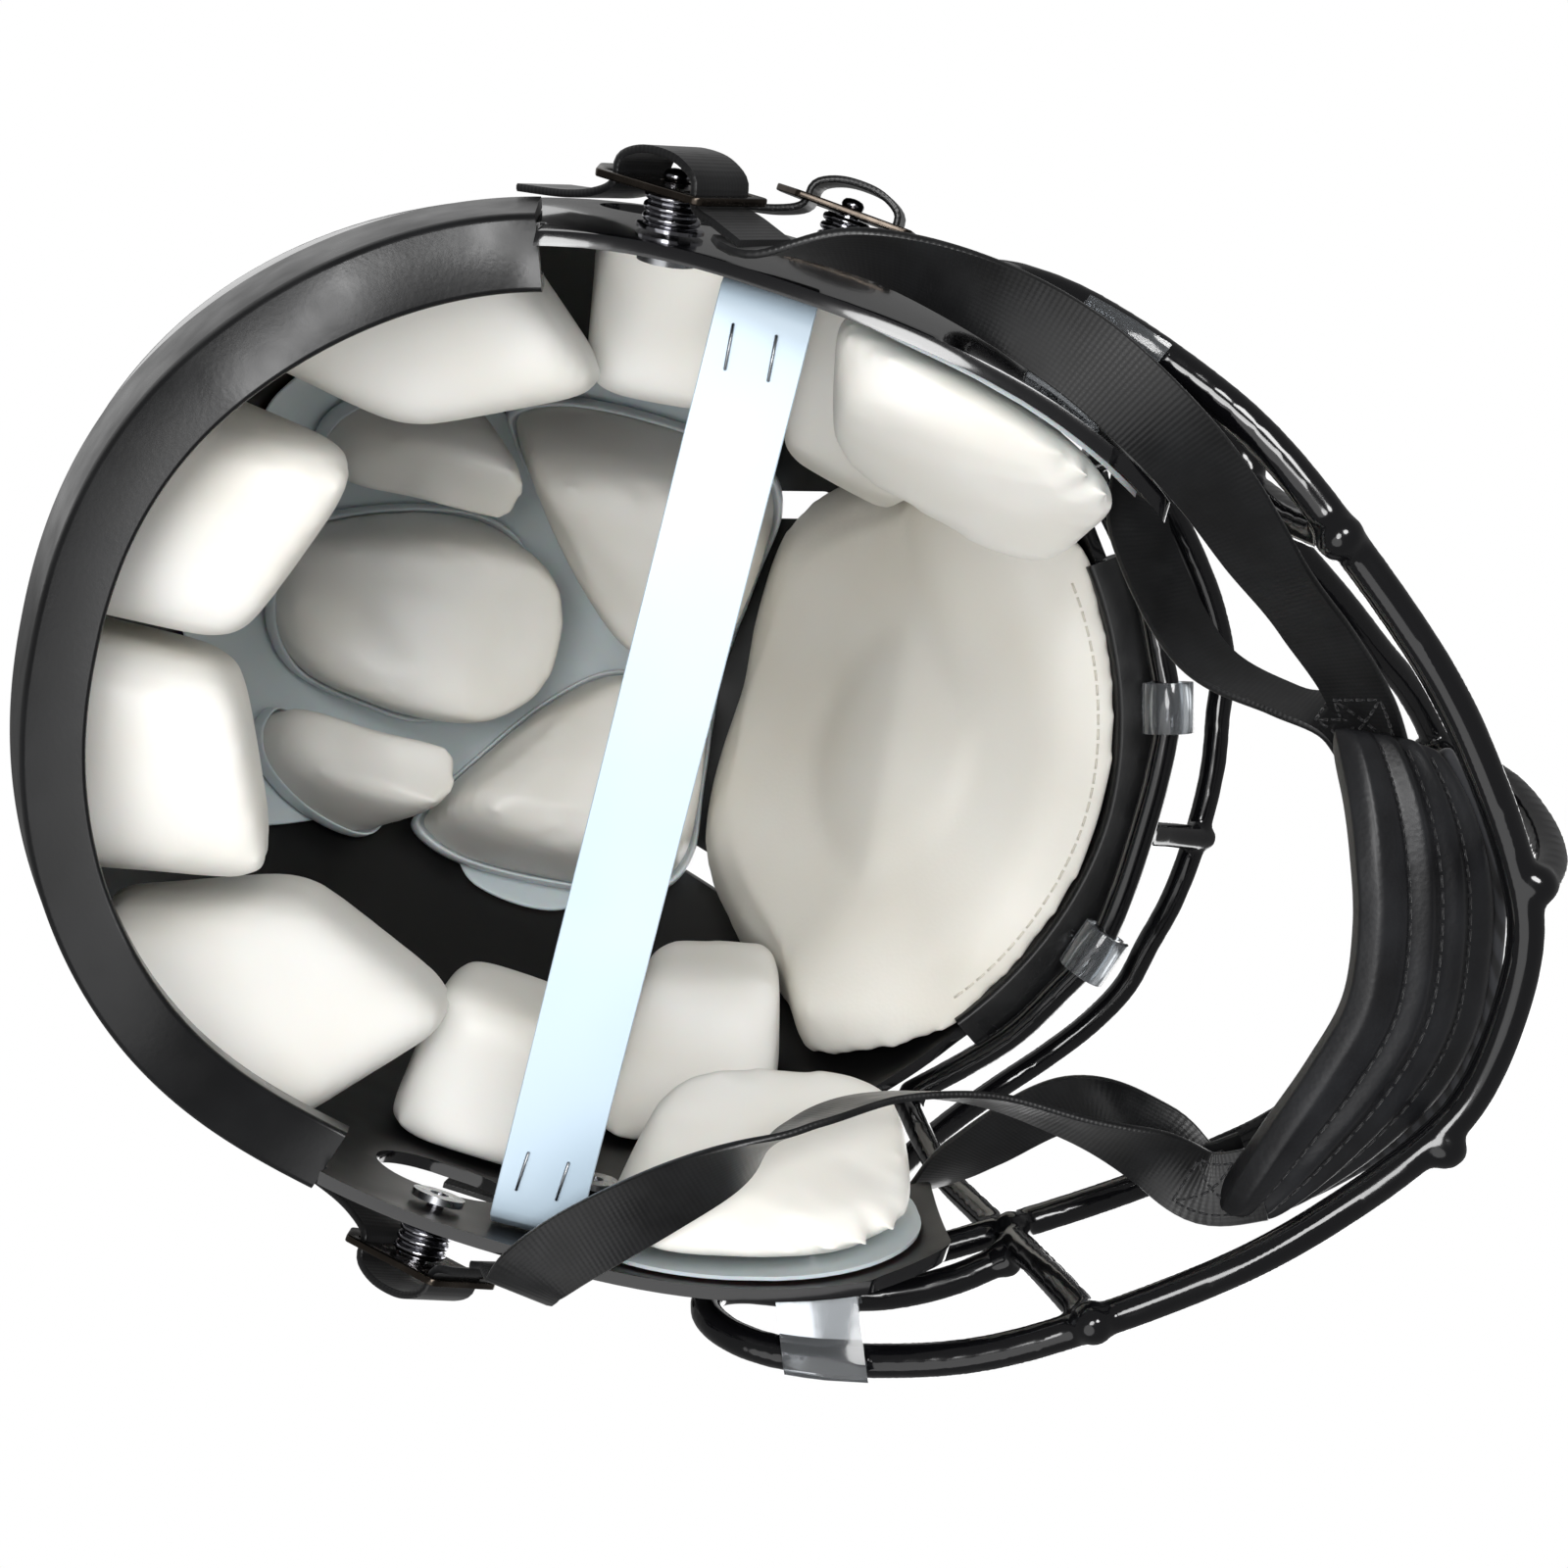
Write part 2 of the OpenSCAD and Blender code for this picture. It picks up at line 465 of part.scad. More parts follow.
// Snap posts: places on the left side, and the way each strap runs on past its post
stud_d = 4;
lower_post = [long(23), level(28)];
upper_post = [long(-10), level(88)];
lower_run = [0, 0.8, 0.6];
upper_run = [0, 1, 0.1];
neck_r = 2.5;
bead_r = 2.75;
hole_r = 3.1;
tee_r = 6;
tee_h = 1.6;
module post_seat(place, run) seat(side_pt(place[0], place[1]), side_out(place[0], place[1]), run) children();
module post_hole() translate([0, 0, -15]) cylinder(d = stud_d + screw_play, h = 30, $fn = 24);
module post_holes() {
    post_seat(lower_post, lower_run) post_hole();
    post_seat(upper_post, upper_run) post_hole();
}
module post() {
    r = post_d / 2;
    ring = (post_h - 1.6) / 3;
    deck = post_h + buckle_t + 2 * gap;
    rotate_extrude($fn = 18) polygon(concat([[0, -lining - 1], [stud_d / 2, -lining - 1],
        [stud_d / 2, clip_lift], [r + 1, clip_lift], [r + 1, 1.5]],
        [for (i = [0:2], q = [[-0.9, 0], [0, 0.3], [0, 0.8]]) [r + q[0], 1.5 + (i + q[1]) * ring]],
        [[r - 0.9, post_h], [neck_r, post_h], [neck_r, deck], [bead_r, deck + 0.5],
        [bead_r - 0.5, deck + 1.8], [0, deck + 2.2]]));
}
module snap_posts() color("#2c2d30") placed() for (s = [0, 1]) mirror([s, 0, 0]) {
    post_seat(lower_post, lower_run) post();
    post_seat(upper_post, upper_run) post();
}
module tee() translate([0, 0, -lining - tee_h]) difference() {
    cylinder(r = tee_r, h = tee_h, $fn = 32);
    translate([0, 0, -1]) cylinder(d = stud_d + gap, h = tee_h + 2, $fn = 32);
}
module post_nuts() color("#8b9094") placed() for (s = [0, 1]) mirror([s, 0, 0]) {
    post_seat(lower_post, lower_run) tee();
    post_seat(upper_post, upper_run) tee();
}
// Buckle plates, each with its hole and two strap slots
front_slot = -11.5;
rear_slot = 9.5;
buckle_w = strap_w + 6;
module buckle() translate([0, 0, post_h + gap]) difference() {
    linear_extrude(buckle_t) difference() {
        offset(r = 2, $fn = 24) offset(delta = -2) polygon([for (q = [[-16, -1], [12, -1], [18, -0.35],
            [18, 0.35], [12, 1], [-16, 1]]) [q[0], q[1] * buckle_w / 2]]);
        for (x = [front_slot, rear_slot]) translate([x, 0])
            square([strap_t + 2, strap_w + 1.2], center = true);
    }
    translate([0, 0, -1]) cylinder(r = hole_r, h = buckle_t + 2, $fn = 32);
}
module buckle_lower_left() color("#3a342e") placed() post_seat(lower_post, lower_run) buckle();
module buckle_lower_right() right() buckle_lower_left();
module buckle_upper_left() color("#3a342e") placed() post_seat(upper_post, upper_run) buckle();
module buckle_upper_right() right() buckle_upper_left();
// The strap's end: up through the front slot, over the post and down the rear slot
loop_h = 5.6;
module strap_end() {
    deck = post_h + gap + buckle_t;
    path = spline([[-25, 0, 3.4], [-18, 0, 5.6], [front_slot - 0.8, 0, deck - 2.5], [front_slot, 0, deck + 2],
        [front_slot + 2.6, 0, deck + loop_h * 0.75], [-4.5, 0, deck + loop_h], [2, 0, deck + loop_h],
        [rear_slot - 2.6, 0, deck + loop_h * 0.75], [rear_slot, 0, deck + 2],
        [rear_slot + 0.8, 0, deck - 2.5],
        [rear_slot + 6, 0, 4.6], [rear_slot + 14, 0, 2.6], [rear_slot + 28, 0, 0.9]], 2);
    ribbon(path, [for (i = [0:len(path) - 1]) let (d = tangent(path, i)) [-d[2], 0, d[0]]], strap_w, strap_t);
}
module strap_end_lower_left() color("#101012") placed() post_seat(lower_post, lower_run) strap_end();
module strap_end_lower_right() right() strap_end_lower_left();
module strap_end_upper_left() color("#101012") placed() post_seat(upper_post, upper_run) strap_end();
module strap_end_upper_right() right() strap_end_upper_left();
// Straps from the cup to the buckles: each station has its place and the way its face looks
// Place on a strap: its front end keeps with the cup, its rear end with the shell
function hung(p) = let (s = clamp((abs(p[0]) - 45) / 60, 0, 1))
    [p[0] + sign(p[0]) * between(cup_half_w - 54, (wide - 1) * abs(p[0]), s),
    p[1] - (chin_reach - wires_drawn[0]) * clamp((-p[1] - 60) / 75, 0, 1), p[2]];
module strap(stations) color("#101012") placed() ribbon(spline([for (q = stations) hung(q[0])], 3),
    spline([for (q = stations) q[1]], 3), strap_w, strap_t);
module strap_lower_left() strap([[[57, -141, 25], [0, 0, 1]], [[54, -128, 27], [0, 0, 1]],
    [[52, -110, 28], [0, 0, 1]], [[50.5, -88, 27], [0.1, 0, 1]], [[54, -66, 21], [0.2, 0, 1]],
    [[61, -50, 12], [0.1, 0, 1]], [[70, -39, 6], [0, 0, 1]], [[82, -25, 4.4], [0, 0, 1]],
    [[95, -11, 3.2], [0, 0, 1]], [[104, -3.5, 3.4], [-0.2, 0, 1]], [[109.8, -1.5, 6.3], [-0.75, 0, 0.7]],
    [[111.3, -1.3, 8.6], [-1, 0, 0.2]]]);
module strap_lower_right() strap([[[-57, -143, 24], [0.1, 0, 1]],
    [[-66, -126, 21.5], [0.2, 0, 1]], [[-76, -111, 18], [-0.3, 0, 1]], [[-87, -95, 8.5], [0, 0, 1]],
    [[-96, -79, 2.4], [0, 0, 1]], [[-105, -60, 2], [0, 0, 1]], [[-113, -38, 6.2], [-0.6, 0, 0.8]],
    [[-116, -18, 9.4], [-1, 0, 0.5]], [[-114.3, 1.8, 12.2], [-1, 0, -0.2]]]);
module strap_upper_left() strap([[[58, -142, 33], [0, 0, 1]], [[53, -131, 40], [0, 0, 1]],
    [[54, -113, 50], [-0.3, 0, 1]], [[76, -98, 65], [-0.8, 0, 0.7]], [[94, -88.5, 76], [-1, 0.5, 0.4]],
    [[110, -67, 84.5], [-1, 0.4, 0]], [[119, -48, 86], [-1, 0.3, 0]], [[123, -36, 86.5], [-1, 0.15, 0]]]);
module strap_upper_right() strap([[[-50, -141, 34], [0, 0, 1]], [[-50, -130, 41], [0.1, 0, 1]],
    [[-55, -112, 52], [0.3, 0, 1]], [[-76, -95, 66], [0.8, 0, 0.7]], [[-94, -88.5, 76.5], [1, 0.5, 0.4]],
    [[-110, -67, 84.5], [1, 0.4, 0]], [[-119, -48, 86], [1, 0.3, 0]], [[-123, -36, 86.5], [1, 0.15, 0]]]);

// Chin cup: its rear and front edges from right to left, about its own middle
cup_rear = [[-54, -139, 24], [-42, -144.5, 18], [-30, -149, 14.2], [-16, -153.5, 12.6], [0, -156, 12.4],
    [16, -153.5, 14], [32, -149.7, 16.5], [44, -147.5, 19.5], [54, -146, 23]];
cup_front = [[-54, -162, 31], [-42, -173, 28.5], [-28, -181, 27.5], [-14, -185, 27], [1, -187, 26.5],
    [16, -184.5, 26.5], [32, -176.5, 28], [44, -168, 30.5], [54, -158, 32]];
function cup_place(p) = [cup_x + p[0] * cup_half_w / 54, p[1] - (chin_reach - wires_drawn[0]), p[2]];
cup_section = [[-0.05, 0.6], [0.06, 0.62], [0.15, 0.5], [0.21, 0.24], [0.33, 0.5], [0.45, 0.25], [0.59, 0.48],
    [0.71, 0.22], [0.86, 0.42], [0.96, 0.28]];
function cup_lower(q) = [q[0], -q[1] * 0.9];
module chin_cup() {
    rear = spline([for (p = cup_rear) cup_place(p)], 3);
    front = spline([for (p = cup_front) cup_place(p)], 3);
    outline = concat([[-0.12, 0]], cup_section, [[1, 0]], reversed([for (q = cup_section) cup_lower(q)]));
    color("#1a1a1c") placed() rings([for (i = [0:len(rear) - 1])
        let (d = front[i] - rear[i], up = unit(cross(d, tangent(rear, i))), sag = -2.4)
        [for (q = outline) rear[i] + d * q[0] + up * (q[1] * cup_t + sag * sin(180 * clamp(q[0], 0, 1)))]]);
}
pipe_r = 1.8;
module cup_piping() {
    rear = spline([for (p = cup_rear) cup_place(p)], 3);
    front = spline([for (p = cup_front) cup_place(p)], 3);
    color("#e6e2d8") placed() tube([for (i = [0:len(front) - 1])
        front[i] + unit(front[i] - rear[i]) * (pipe_r + gap)], pipe_r, 6);
}

// Pads: rows of share of the outline and share of the depth, from the shell inward
pad_sides = 18;
pad_rows = [[0.5, 0], [1, 0], [1.01, 0.12], [0.99, 0.34], [0.965, 0.64], [0.92, 0.84], [0.82, 0.95],
    [0.52, 1.01]];
sheet_steps = [0.12, 0.35, 0.6, 0.82, 1];
sheet_rows = concat([for (s = sheet_steps) [s, 0]], [for (s = reversed(sheet_steps)) [s, 1]]);
function block(n = 4.5) = [for (k = [0:pad_sides - 1]) let (a = 360 * (k + 0.5) / pad_sides)
    [spow(cos(a), 2 / n), spow(sin(a), 2 / n)]];
// Point of a four-cornered face, whose corners run low rear, low front, high front, high rear
function on_face(f, q) = ((1 - q[0]) * (1 - q[1]) * f[0] + (1 + q[0]) * (1 - q[1]) * f[1]
    + (1 + q[0]) * (1 + q[1]) * f[2] + (1 - q[0]) * (1 + q[1]) * f[3]) / 4;
function between(a, b, t) = a + (b - a) * t;
// Pad from a patch on the back of the shell (its middle's azimuth and level) to its inner face
module back_pad(a, z, hu, hv, face, base = lining) rings([for (row = pad_rows) [for (q = block())
    between(shell_pt(a - q[0] * hu * row[0] * 180 / PI / 119, level(z + q[1] * hv * row[0]), base),
        fitted(on_face(face, q * row[0])), row[1] * pad_t / 38 / wide)]]);
// Pad from a patch on the left side (its middle's distance behind the ear line and level)
module side_pad(y, z, hu, hv, face, base = lining, n = 4.5) rings([for (row = pad_rows) [for (q = block(n))
    between(side_pt(long(y - q[0] * hu * row[0]), level(z + q[1] * hv * row[0]), base),
        fitted(on_face(face, q * row[0])), row[1] * pad_t / 38 / wide)]]);
// Thin sheet against the left side
module side_sheet(y, z, hu, hv, n) rings([for (row = sheet_rows) [for (q = block(n))
    side_pt(long(y - q[0] * hu * row[0]), level(z + q[1] * hv * row[0]), lining + sheet_t * row[1])]]);
// Pad against the dome: its corners are places on the dome, and it keeps in line with the belt's middle
function closed(pts, steps) = let (n = len(pts)) [for (i = [0:n - 1], j = [0:steps - 1])
    spline_at(pts[(i + n - 1) % n], pts[i], pts[(i + 1) % n], pts[(i + 2) % n], j / steps)];
function middle(pts) = [for (k = [0:2]) [for (p = pts) 1] * [for (p = pts) p[k]] / len(pts)];
// The shares of its rows shrink towards the shell, since lines from the belt's middle spread
dome_rows_of_pad = [[0.45, 0], [0.86, 0], [0.9, 0.12], [0.95, 0.34], [1.01, 0.64], [1, 0.84], [0.92, 0.95],
    [0.55, 1.01]];
module dome_pad(corners) {
    c = middle(corners);
    rings([for (row = dome_rows_of_pad) [for (p = reversed(closed(corners, 2)))
        dome_pt(fitted(between(c, p, row[0])), over_sheet + crown_t * row[1])]]);
}
// Whole outline from its left half: each entry has a point and its depth and thickness
function outline_of(half) = let (p = spline([for (h = half) h[0]], 2), d = spline([for (h = half) h[1]], 2),
    e = [for (i = [0:len(p) - 1]) [p[i], d[i]]])
    concat(e, reversed([for (i = [1:len(e) - 2]) [flip(e[i][0]), e[i][1]]]));
module shaped_pad(half, c, depth, rows) rings([for (row = rows) [for (e = reversed(outline_of(half)))
    let (d = between(depth, e[1], pow(row[0], 3)))
    dome_pt(fitted(between(c, e[0], row[0])), d[0] + d[1] * row[1])]]);
sheet_t = 1;
over_sheet = lining + sheet_t + 1.5;
behind_nut = lining + nut_h + 1.2;
module crown_sheet() color("#c9dbe6") placed() shaped_pad([for (p = [
    [0, -6, 257], [30, -8, 251], [52, -2, 242], [66, 12, 230], [80, 24, 214], [78, 52, 210],
    [62, 66, 214], [62, 88, 198], [66, 112, 172], [50, 124, 164], [30, 128, 168], [0, 140, 156]])
    [p, [lining, sheet_t]]], [0, 60, 235], [lining, sheet_t], sheet_rows);
module crown_pad_rear() color("#e9e6dd") placed() dome_pad([
    [-1, 144, 194], [-16, 144, 192], [-29, 127, 211], [-38, 95, 233], [-33, 75, 243], [-16, 66, 250],
    [16, 66, 250], [33, 77, 242], [41, 93, 233], [38, 110, 221], [30, 131, 205], [16, 140, 196]]);
module crown_pad_rear_left() color("#e9e6dd") placed() dome_pad([
    [50, 137, 189], [42, 137, 195], [41, 132, 200], [48, 119, 208], [54, 101, 224], [63, 95, 222],
    [74, 93, 212], [79, 99, 204], [72, 116, 194], [60, 131, 188]]);
module crown_pad_rear_right() right() crown_pad_rear_left();
module crown_pad_top_left() color("#e9e6dd") placed() dome_pad([
    [75, 84, 217], [67, 84, 223], [47, 72, 240], [23, 54, 251], [6, 33, 256], [5, 8, 258], [12, -7, 257],
    [42, -12, 250], [66, -14, 239], [80, -2, 231], [84, 30, 226], [82, 66, 218]]);
module crown_pad_top_right() right() crown_pad_top_left();
module rear_pad_left() color("#ecebe6") placed()
    back_pad(76, 52, 27, 30, [[1.5, 93, 32], [48, 73, 32], [52, 88, 84], [1.5, 107, 84]]);
module rear_pad_right() right() rear_pad_left();
module rear_side_pad_left() color("#ecebe6") placed()
    back_pad(39, 62, 33.6, 32, [[55, 76, 61], [77, 29, 60], [84, 36, 112], [60, 88, 112]]);
module rear_side_pad_right() right() rear_side_pad_left();
module side_pad_left() color("#ecebe6") placed()
    side_pad(23, 111, 23.3, 30, [[77, 42, 87], [80, 6, 87], [82, 6, 134], [79, 43, 134]]);
module side_pad_right() right() side_pad_left();
module temple_pad_left() color("#ecebe6") placed()
    side_pad(-29, 152, 25, 28, [[79, -6, 140], [70, -48, 146], [66, -45, 186], [76, -6, 188]]);
module temple_pad_right() right() temple_pad_left();
jaw_y = -48;
jaw_z = 40;
jaw_n2 = 3;
module jaw_flange_left() color("#d5e4ee", 0.7) placed() difference() {
    side_sheet(jaw_y, jaw_z, 36, 33, jaw_n2);
    side_seat() translate([0, 0, -lining - nut_h - 2]) cylinder(r = screw_d * 1.05 + 1.5,
        h = lining + nut_h + 2, $fn = 32);
}
module jaw_flange_right() right() jaw_flange_left();
module jaw_pad_left() color("#eceae2") placed() side_pad(jaw_y, jaw_z, 34, 31,
    [[88, -18, 14], [81, -82, 18], [57, -76, 68], [73, -18, 72]], behind_nut, jaw_n2);
module jaw_pad_right() right() jaw_pad_left();
// Front pad: each point of its half outline with its depth behind the shell and thickness
brow_in = brow_shelf + 0.7;
hem_z = brow_z - brow_web - 1;
function brow_point(x, y, up) = [x, y, hem_z + up];
module front_pad() color("#d8cdb4") placed() shaped_pad([for (e = [
    [[0, -120, hem_z], brow_in, 5], [[30, -116, hem_z], brow_in, 5], [[54, -106, hem_z], brow_in, 6],
    [[69, -91, hem_z + 2], brow_in, 9], [[80, -72, 150], behind_nut, 15], [[84, -61, 160], behind_nut, 20],
    [[76, -52, 180], behind_nut, 22], [[62, -36, 197], behind_nut, 22], [[44, -18, 212], behind_nut, 22],
    [[22, -12, 222], behind_nut, 22], [[0, -12, 225], behind_nut, 22]])
    [e[0], [e[1], e[2] * front_t / 22]]], [0, -80, 196], [behind_nut, front_t * 0.92], pad_rows);

// Spreader strip across the opening, its ends turned up against the shell's wall
strip_x = 103.5 * wide;
fold_h = 13;
module spreader_strip() {
    top = side_pt(0, strip_z + fold_h, lining + strip_t / 2);
    half = [[0, 0, strip_z], [60, 0, strip_z], [strip_x - 4, 0, strip_z + 0.2], [strip_x, 0, strip_z + 2.6],
        [(strip_x + top[0]) / 2 + 1, 0, strip_z + fold_h * 0.6], top];
    path = mirrored(half);
    color("#dfeaf2") placed() ribbon(path, [for (i = [0:len(path) - 1])
        let (d = tangent(path, i)) [-d[2], 0, d[0]]], strip_w, strip_t);
}

outer_shell();
rear_bumper();
front_bumper();
chin_bar();
mouth_bar();
lower_brow_bar();
upper_brow_bar();
brow_stub();
strut_left();
strut_right();
chin_post_left();
chin_post_right();
top_clip_left();
top_clip_right();
side_clip_left();
side_clip_right();
mask_screws();
mask_nuts();
snap_posts();
post_nuts();
buckle_lower_left();
buckle_lower_right();
buckle_upper_left();
buckle_upper_right();
strap_end_lower_left();
strap_end_lower_right();
strap_end_upper_left();
strap_end_upper_right();
strap_lower_left();
strap_lower_right();
strap_upper_left();
strap_upper_right();
chin_cup();
cup_piping();
crown_sheet();
crown_pad_rear();
crown_pad_rear_left();
crown_pad_rear_right();
crown_pad_top_left();
crown_pad_top_right();
rear_pad_left();
rear_pad_right();
rear_side_pad_left();
rear_side_pad_right();
side_pad_left();
side_pad_right();
temple_pad_left();
temple_pad_right();
jaw_flange_left();
jaw_flange_right();
jaw_pad_left();
jaw_pad_right();
front_pad();
spreader_strip();
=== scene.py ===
"""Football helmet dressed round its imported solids: shell, face mask, liner and chin strap."""
import sys

import logging
import math
from collections.abc import Sequence
from dataclasses import dataclass, field
from enum import Enum

import bmesh
import bpy
import numpy as np
from bpy.types import Material, Node, NodeSocket, NodeTree, Object
from mathutils import Matrix, Vector


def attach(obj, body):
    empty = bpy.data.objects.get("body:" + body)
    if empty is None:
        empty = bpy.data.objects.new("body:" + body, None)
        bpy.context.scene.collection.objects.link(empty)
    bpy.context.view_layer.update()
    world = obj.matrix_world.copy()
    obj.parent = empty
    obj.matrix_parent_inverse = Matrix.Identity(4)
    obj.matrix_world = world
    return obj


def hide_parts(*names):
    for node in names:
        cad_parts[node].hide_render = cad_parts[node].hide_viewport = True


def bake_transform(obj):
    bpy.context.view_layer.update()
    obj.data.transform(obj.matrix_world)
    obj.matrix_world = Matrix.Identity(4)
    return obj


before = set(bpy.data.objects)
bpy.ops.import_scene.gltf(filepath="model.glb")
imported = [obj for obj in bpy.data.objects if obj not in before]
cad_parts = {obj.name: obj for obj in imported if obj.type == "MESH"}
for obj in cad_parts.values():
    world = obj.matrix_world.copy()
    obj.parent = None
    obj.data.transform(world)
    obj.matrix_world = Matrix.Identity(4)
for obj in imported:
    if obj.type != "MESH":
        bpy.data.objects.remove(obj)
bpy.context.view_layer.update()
LOG = logging.getLogger("helmet")
MM = 0.001
MIRROR = np.array([-1.0, 1.0, 1.0])
STRAIGHT = 1.56  # half the angle of a corner, in radians, above which it counts as a straight run


# Points, paths and directions, all in millimetres ahead of being placed
def point(*xyz: float) -> np.ndarray:
    """Returns a point as an array."""
    return np.array(xyz, float)


def unit(v: np.ndarray) -> np.ndarray:
    """Returns v at length one, along its last axis."""
    return v / np.linalg.norm(v, axis=-1, keepdims=True)


def spline(points: Sequence, steps: int) -> np.ndarray:
    """Runs a smooth curve through a list of points.

    Args:
        points: the points, or rows of any numbers, that it passes.
        steps: how many stretches it makes of each span.

    Returns:
        The rows along it, the first and last ones included.
    """
    p = np.asarray(points, float)
    q = np.vstack([p[:1], p, p[-1:]])
    rows = []
    for i in range(len(p) - 1):
        a, b, c, d = q[i:i + 4]
        for t in np.arange(steps) / steps:
            rows.append(0.5 * (2 * b + (c - a) * t + (2 * a - 5 * b + 4 * c - d) * t * t
                               + (3 * b - a - 3 * c + d) * t ** 3))
    return np.array(rows + [p[-1]])


def mirrored(half: Sequence) -> list:
    """Returns a route from right to left, given its half from the middle to the left."""
    return [[-p[0], *p[1:]] for p in half[:0:-1]] + list(half)


def tangents(path: np.ndarray) -> np.ndarray:
    """Returns the direction of a path at each of its points."""
    return unit(np.vstack([path[1:2] - path[:1], path[2:] - path[:-2], path[-1:] - path[-2:-1]]))


def carried(path: np.ndarray, first: np.ndarray) -> np.ndarray:
    """Carries a side direction along a path with no twist.

    Args:
        path: the points of the path.
        first: the direction to start from.

    Returns:
        One side direction for each point, square to the path.
    """
    side, sides = first, []
    for t in tangents(path):
        side = unit(side - t * (side @ t))
        sides.append(side)
    return np.array(sides)


def distances(path: np.ndarray) -> np.ndarray:
    """Returns how far along a path each of its points lies."""
    return np.concatenate([[0], np.cumsum(np.linalg.norm(np.diff(path, axis=0), axis=1))])


def even(path: np.ndarray, step: float) -> np.ndarray:
    """Returns the same path with its points an equal step apart."""
    run = distances(path)
    at = np.linspace(0, run[-1], max(2, round(run[-1] / step) + 1))
    return np.column_stack([np.interp(at, run, path[:, k]) for k in range(path.shape[1])])


def turns(sides: int) -> np.ndarray:
    """Returns the angle of each of a number of equal steps round a circle."""
    return np.arange(sides) * 2 * math.pi / sides


def filleted(outline: Sequence, radius: float, steps: int = 8) -> np.ndarray:
    """Rounds each corner of a flat outline.

    Args:
        outline: its corners, each with its own radius as a third number where it differs.
        radius: the radius of the other corners.
        steps: points on each corner.

    Returns:
        The rounded outline.
    """
    p = [point(*c[:2]) for c in outline]
    rows = []
    for i, here in enumerate(p):
        r = outline[i][2] if len(outline[i]) > 2 else radius
        a, b = unit(p[i - 1] - here), unit(p[(i + 1) % len(p)] - here)
        half = math.acos(np.clip(a @ b, -1, 1)) / 2
        if r == 0 or half > STRAIGHT:
            rows.append(here)
            continue
        middle = here + unit(a + b) * r / math.sin(half)
        start, end = here + a * r / math.tan(half), here + b * r / math.tan(half)
        for t in np.linspace(0, 1, steps):
            rows.append(middle + r * unit(start * (1 - t) + end * t - middle))
    return np.array(rows)


@dataclass(frozen=True)
class ShellForm:
    """Shape of the shell: its sizes, and the points and directions on it."""

    half_width: float = 127.0
    front: float = 130.0
    back: float = 162.0
    top: float = 258.0
    belt: float = 125.0
    wall: float = 3.4
    plan_back: float = 2.2
    plan_brow: float = 1.9
    plan_jaw: float = 2.6
    dome: float = 2.2
    taper_side: float = 0.2
    taper_front: float = 0.08
    taper_back: float = 0.27
    taper_power: float = 1.7
    wide_y: float = 5.0
    middle_y: float = 19.85

    def reaches(self, z: np.ndarray, depth: np.ndarray, back: np.ndarray) -> tuple:
        """Half width and reach of the shell at a level, some depth inside its outer face."""
        rise = np.clip((z - self.belt) / (self.top - depth - self.belt), 0, 1)
        dome = (1 - rise ** self.dome) ** (1 / self.dome)
        drop = np.clip((self.belt - z) / self.belt, 0, None) ** self.taper_power
        taper = np.where(back, self.taper_back, self.taper_front)
        length = np.where(back, self.back - self.wide_y, self.front + self.wide_y) - depth
        return ((self.half_width - depth) * dome * (1 - self.taper_side * drop),
                length * dome * (1 - taper * drop))

    def power(self, z: np.ndarray, back: np.ndarray) -> np.ndarray:
        """Exponent of the shell's plan section at a level."""
        low = np.clip(1 - z / self.belt, 0, 1)
        front = self.plan_brow + (self.plan_jaw - self.plan_brow) * low
        return np.where(back, self.plan_back, front)

    def at(self, degrees: np.ndarray, z: np.ndarray, depth: np.ndarray = 0.0) -> np.ndarray:
        """Points at azimuths, 0 at the left side and 90 at the back, and levels."""
        a, z, depth = np.broadcast_arrays(np.radians(degrees), np.asarray(z, float), depth)
        back = np.sin(a) > 0
        width, length = self.reaches(z, depth, back)
        e = 2 / self.power(z, back)
        c, s = np.cos(a), np.sin(a)
        x, y = width * np.sign(c) * abs(c) ** e, self.wide_y + length * np.sign(s) * abs(s) ** e
        return np.stack([x, y, z], -1)

    def side(self, y: float, z: float, depth: float = 0.0) -> np.ndarray:
        """Point on the left side at a distance behind the ear line."""
        back = y > self.wide_y
        width, length = self.reaches(z, depth, back)
        n = self.power(z, back)
        return point(width * max(0.0, 1 - (abs(y - self.wide_y) / length) ** n) ** (1 / n), y, z)

    def face(self, x: float, z: float, depth: float = 0.0) -> np.ndarray:
        """Point on the front at a distance from the middle plane."""
        width, length = self.reaches(z, depth, False)
        n = self.power(z, False)
        return point(x, self.wide_y - length * (1 - (abs(x) / width) ** n) ** (1 / n), z)

    def side_out(self, y: float, z: float) -> np.ndarray:
        """Outward direction on the left side."""
        return unit(np.cross(self.side(y + 1, z) - self.side(y - 1, z),
                             self.side(y, z + 1) - self.side(y, z - 1)))

    def under(self, p: np.ndarray, depth: float = 0.0) -> np.ndarray:
        """Point at a depth behind the dome, in line with p from the middle of the belt."""
        heart = point(0, self.wide_y, self.belt)
        v = p - heart
        back = v[1] > 0
        n = self.power(self.belt, back)
        width, length = self.reaches(self.belt, depth, back)
        w = ((abs(v[0]) / width) ** n + (abs(v[1]) / length) ** n) ** (self.dome / n) \
            + (max(v[2], 0) / (self.top - depth - self.belt)) ** self.dome
        return v / w ** (1 / self.dome) + heart

    def azimuth(self, y: float, z: float) -> float:
        """Azimuth at which the edge at a level reaches a distance behind the ear line."""
        past = y - self.wide_y
        length = self.reaches(z, 0, past > 0)[1]
        n = self.power(z, past > 0)
        return math.degrees(math.copysign(math.asin((abs(past) / length) ** (n / 2)), past))


SHELL = ShellForm()


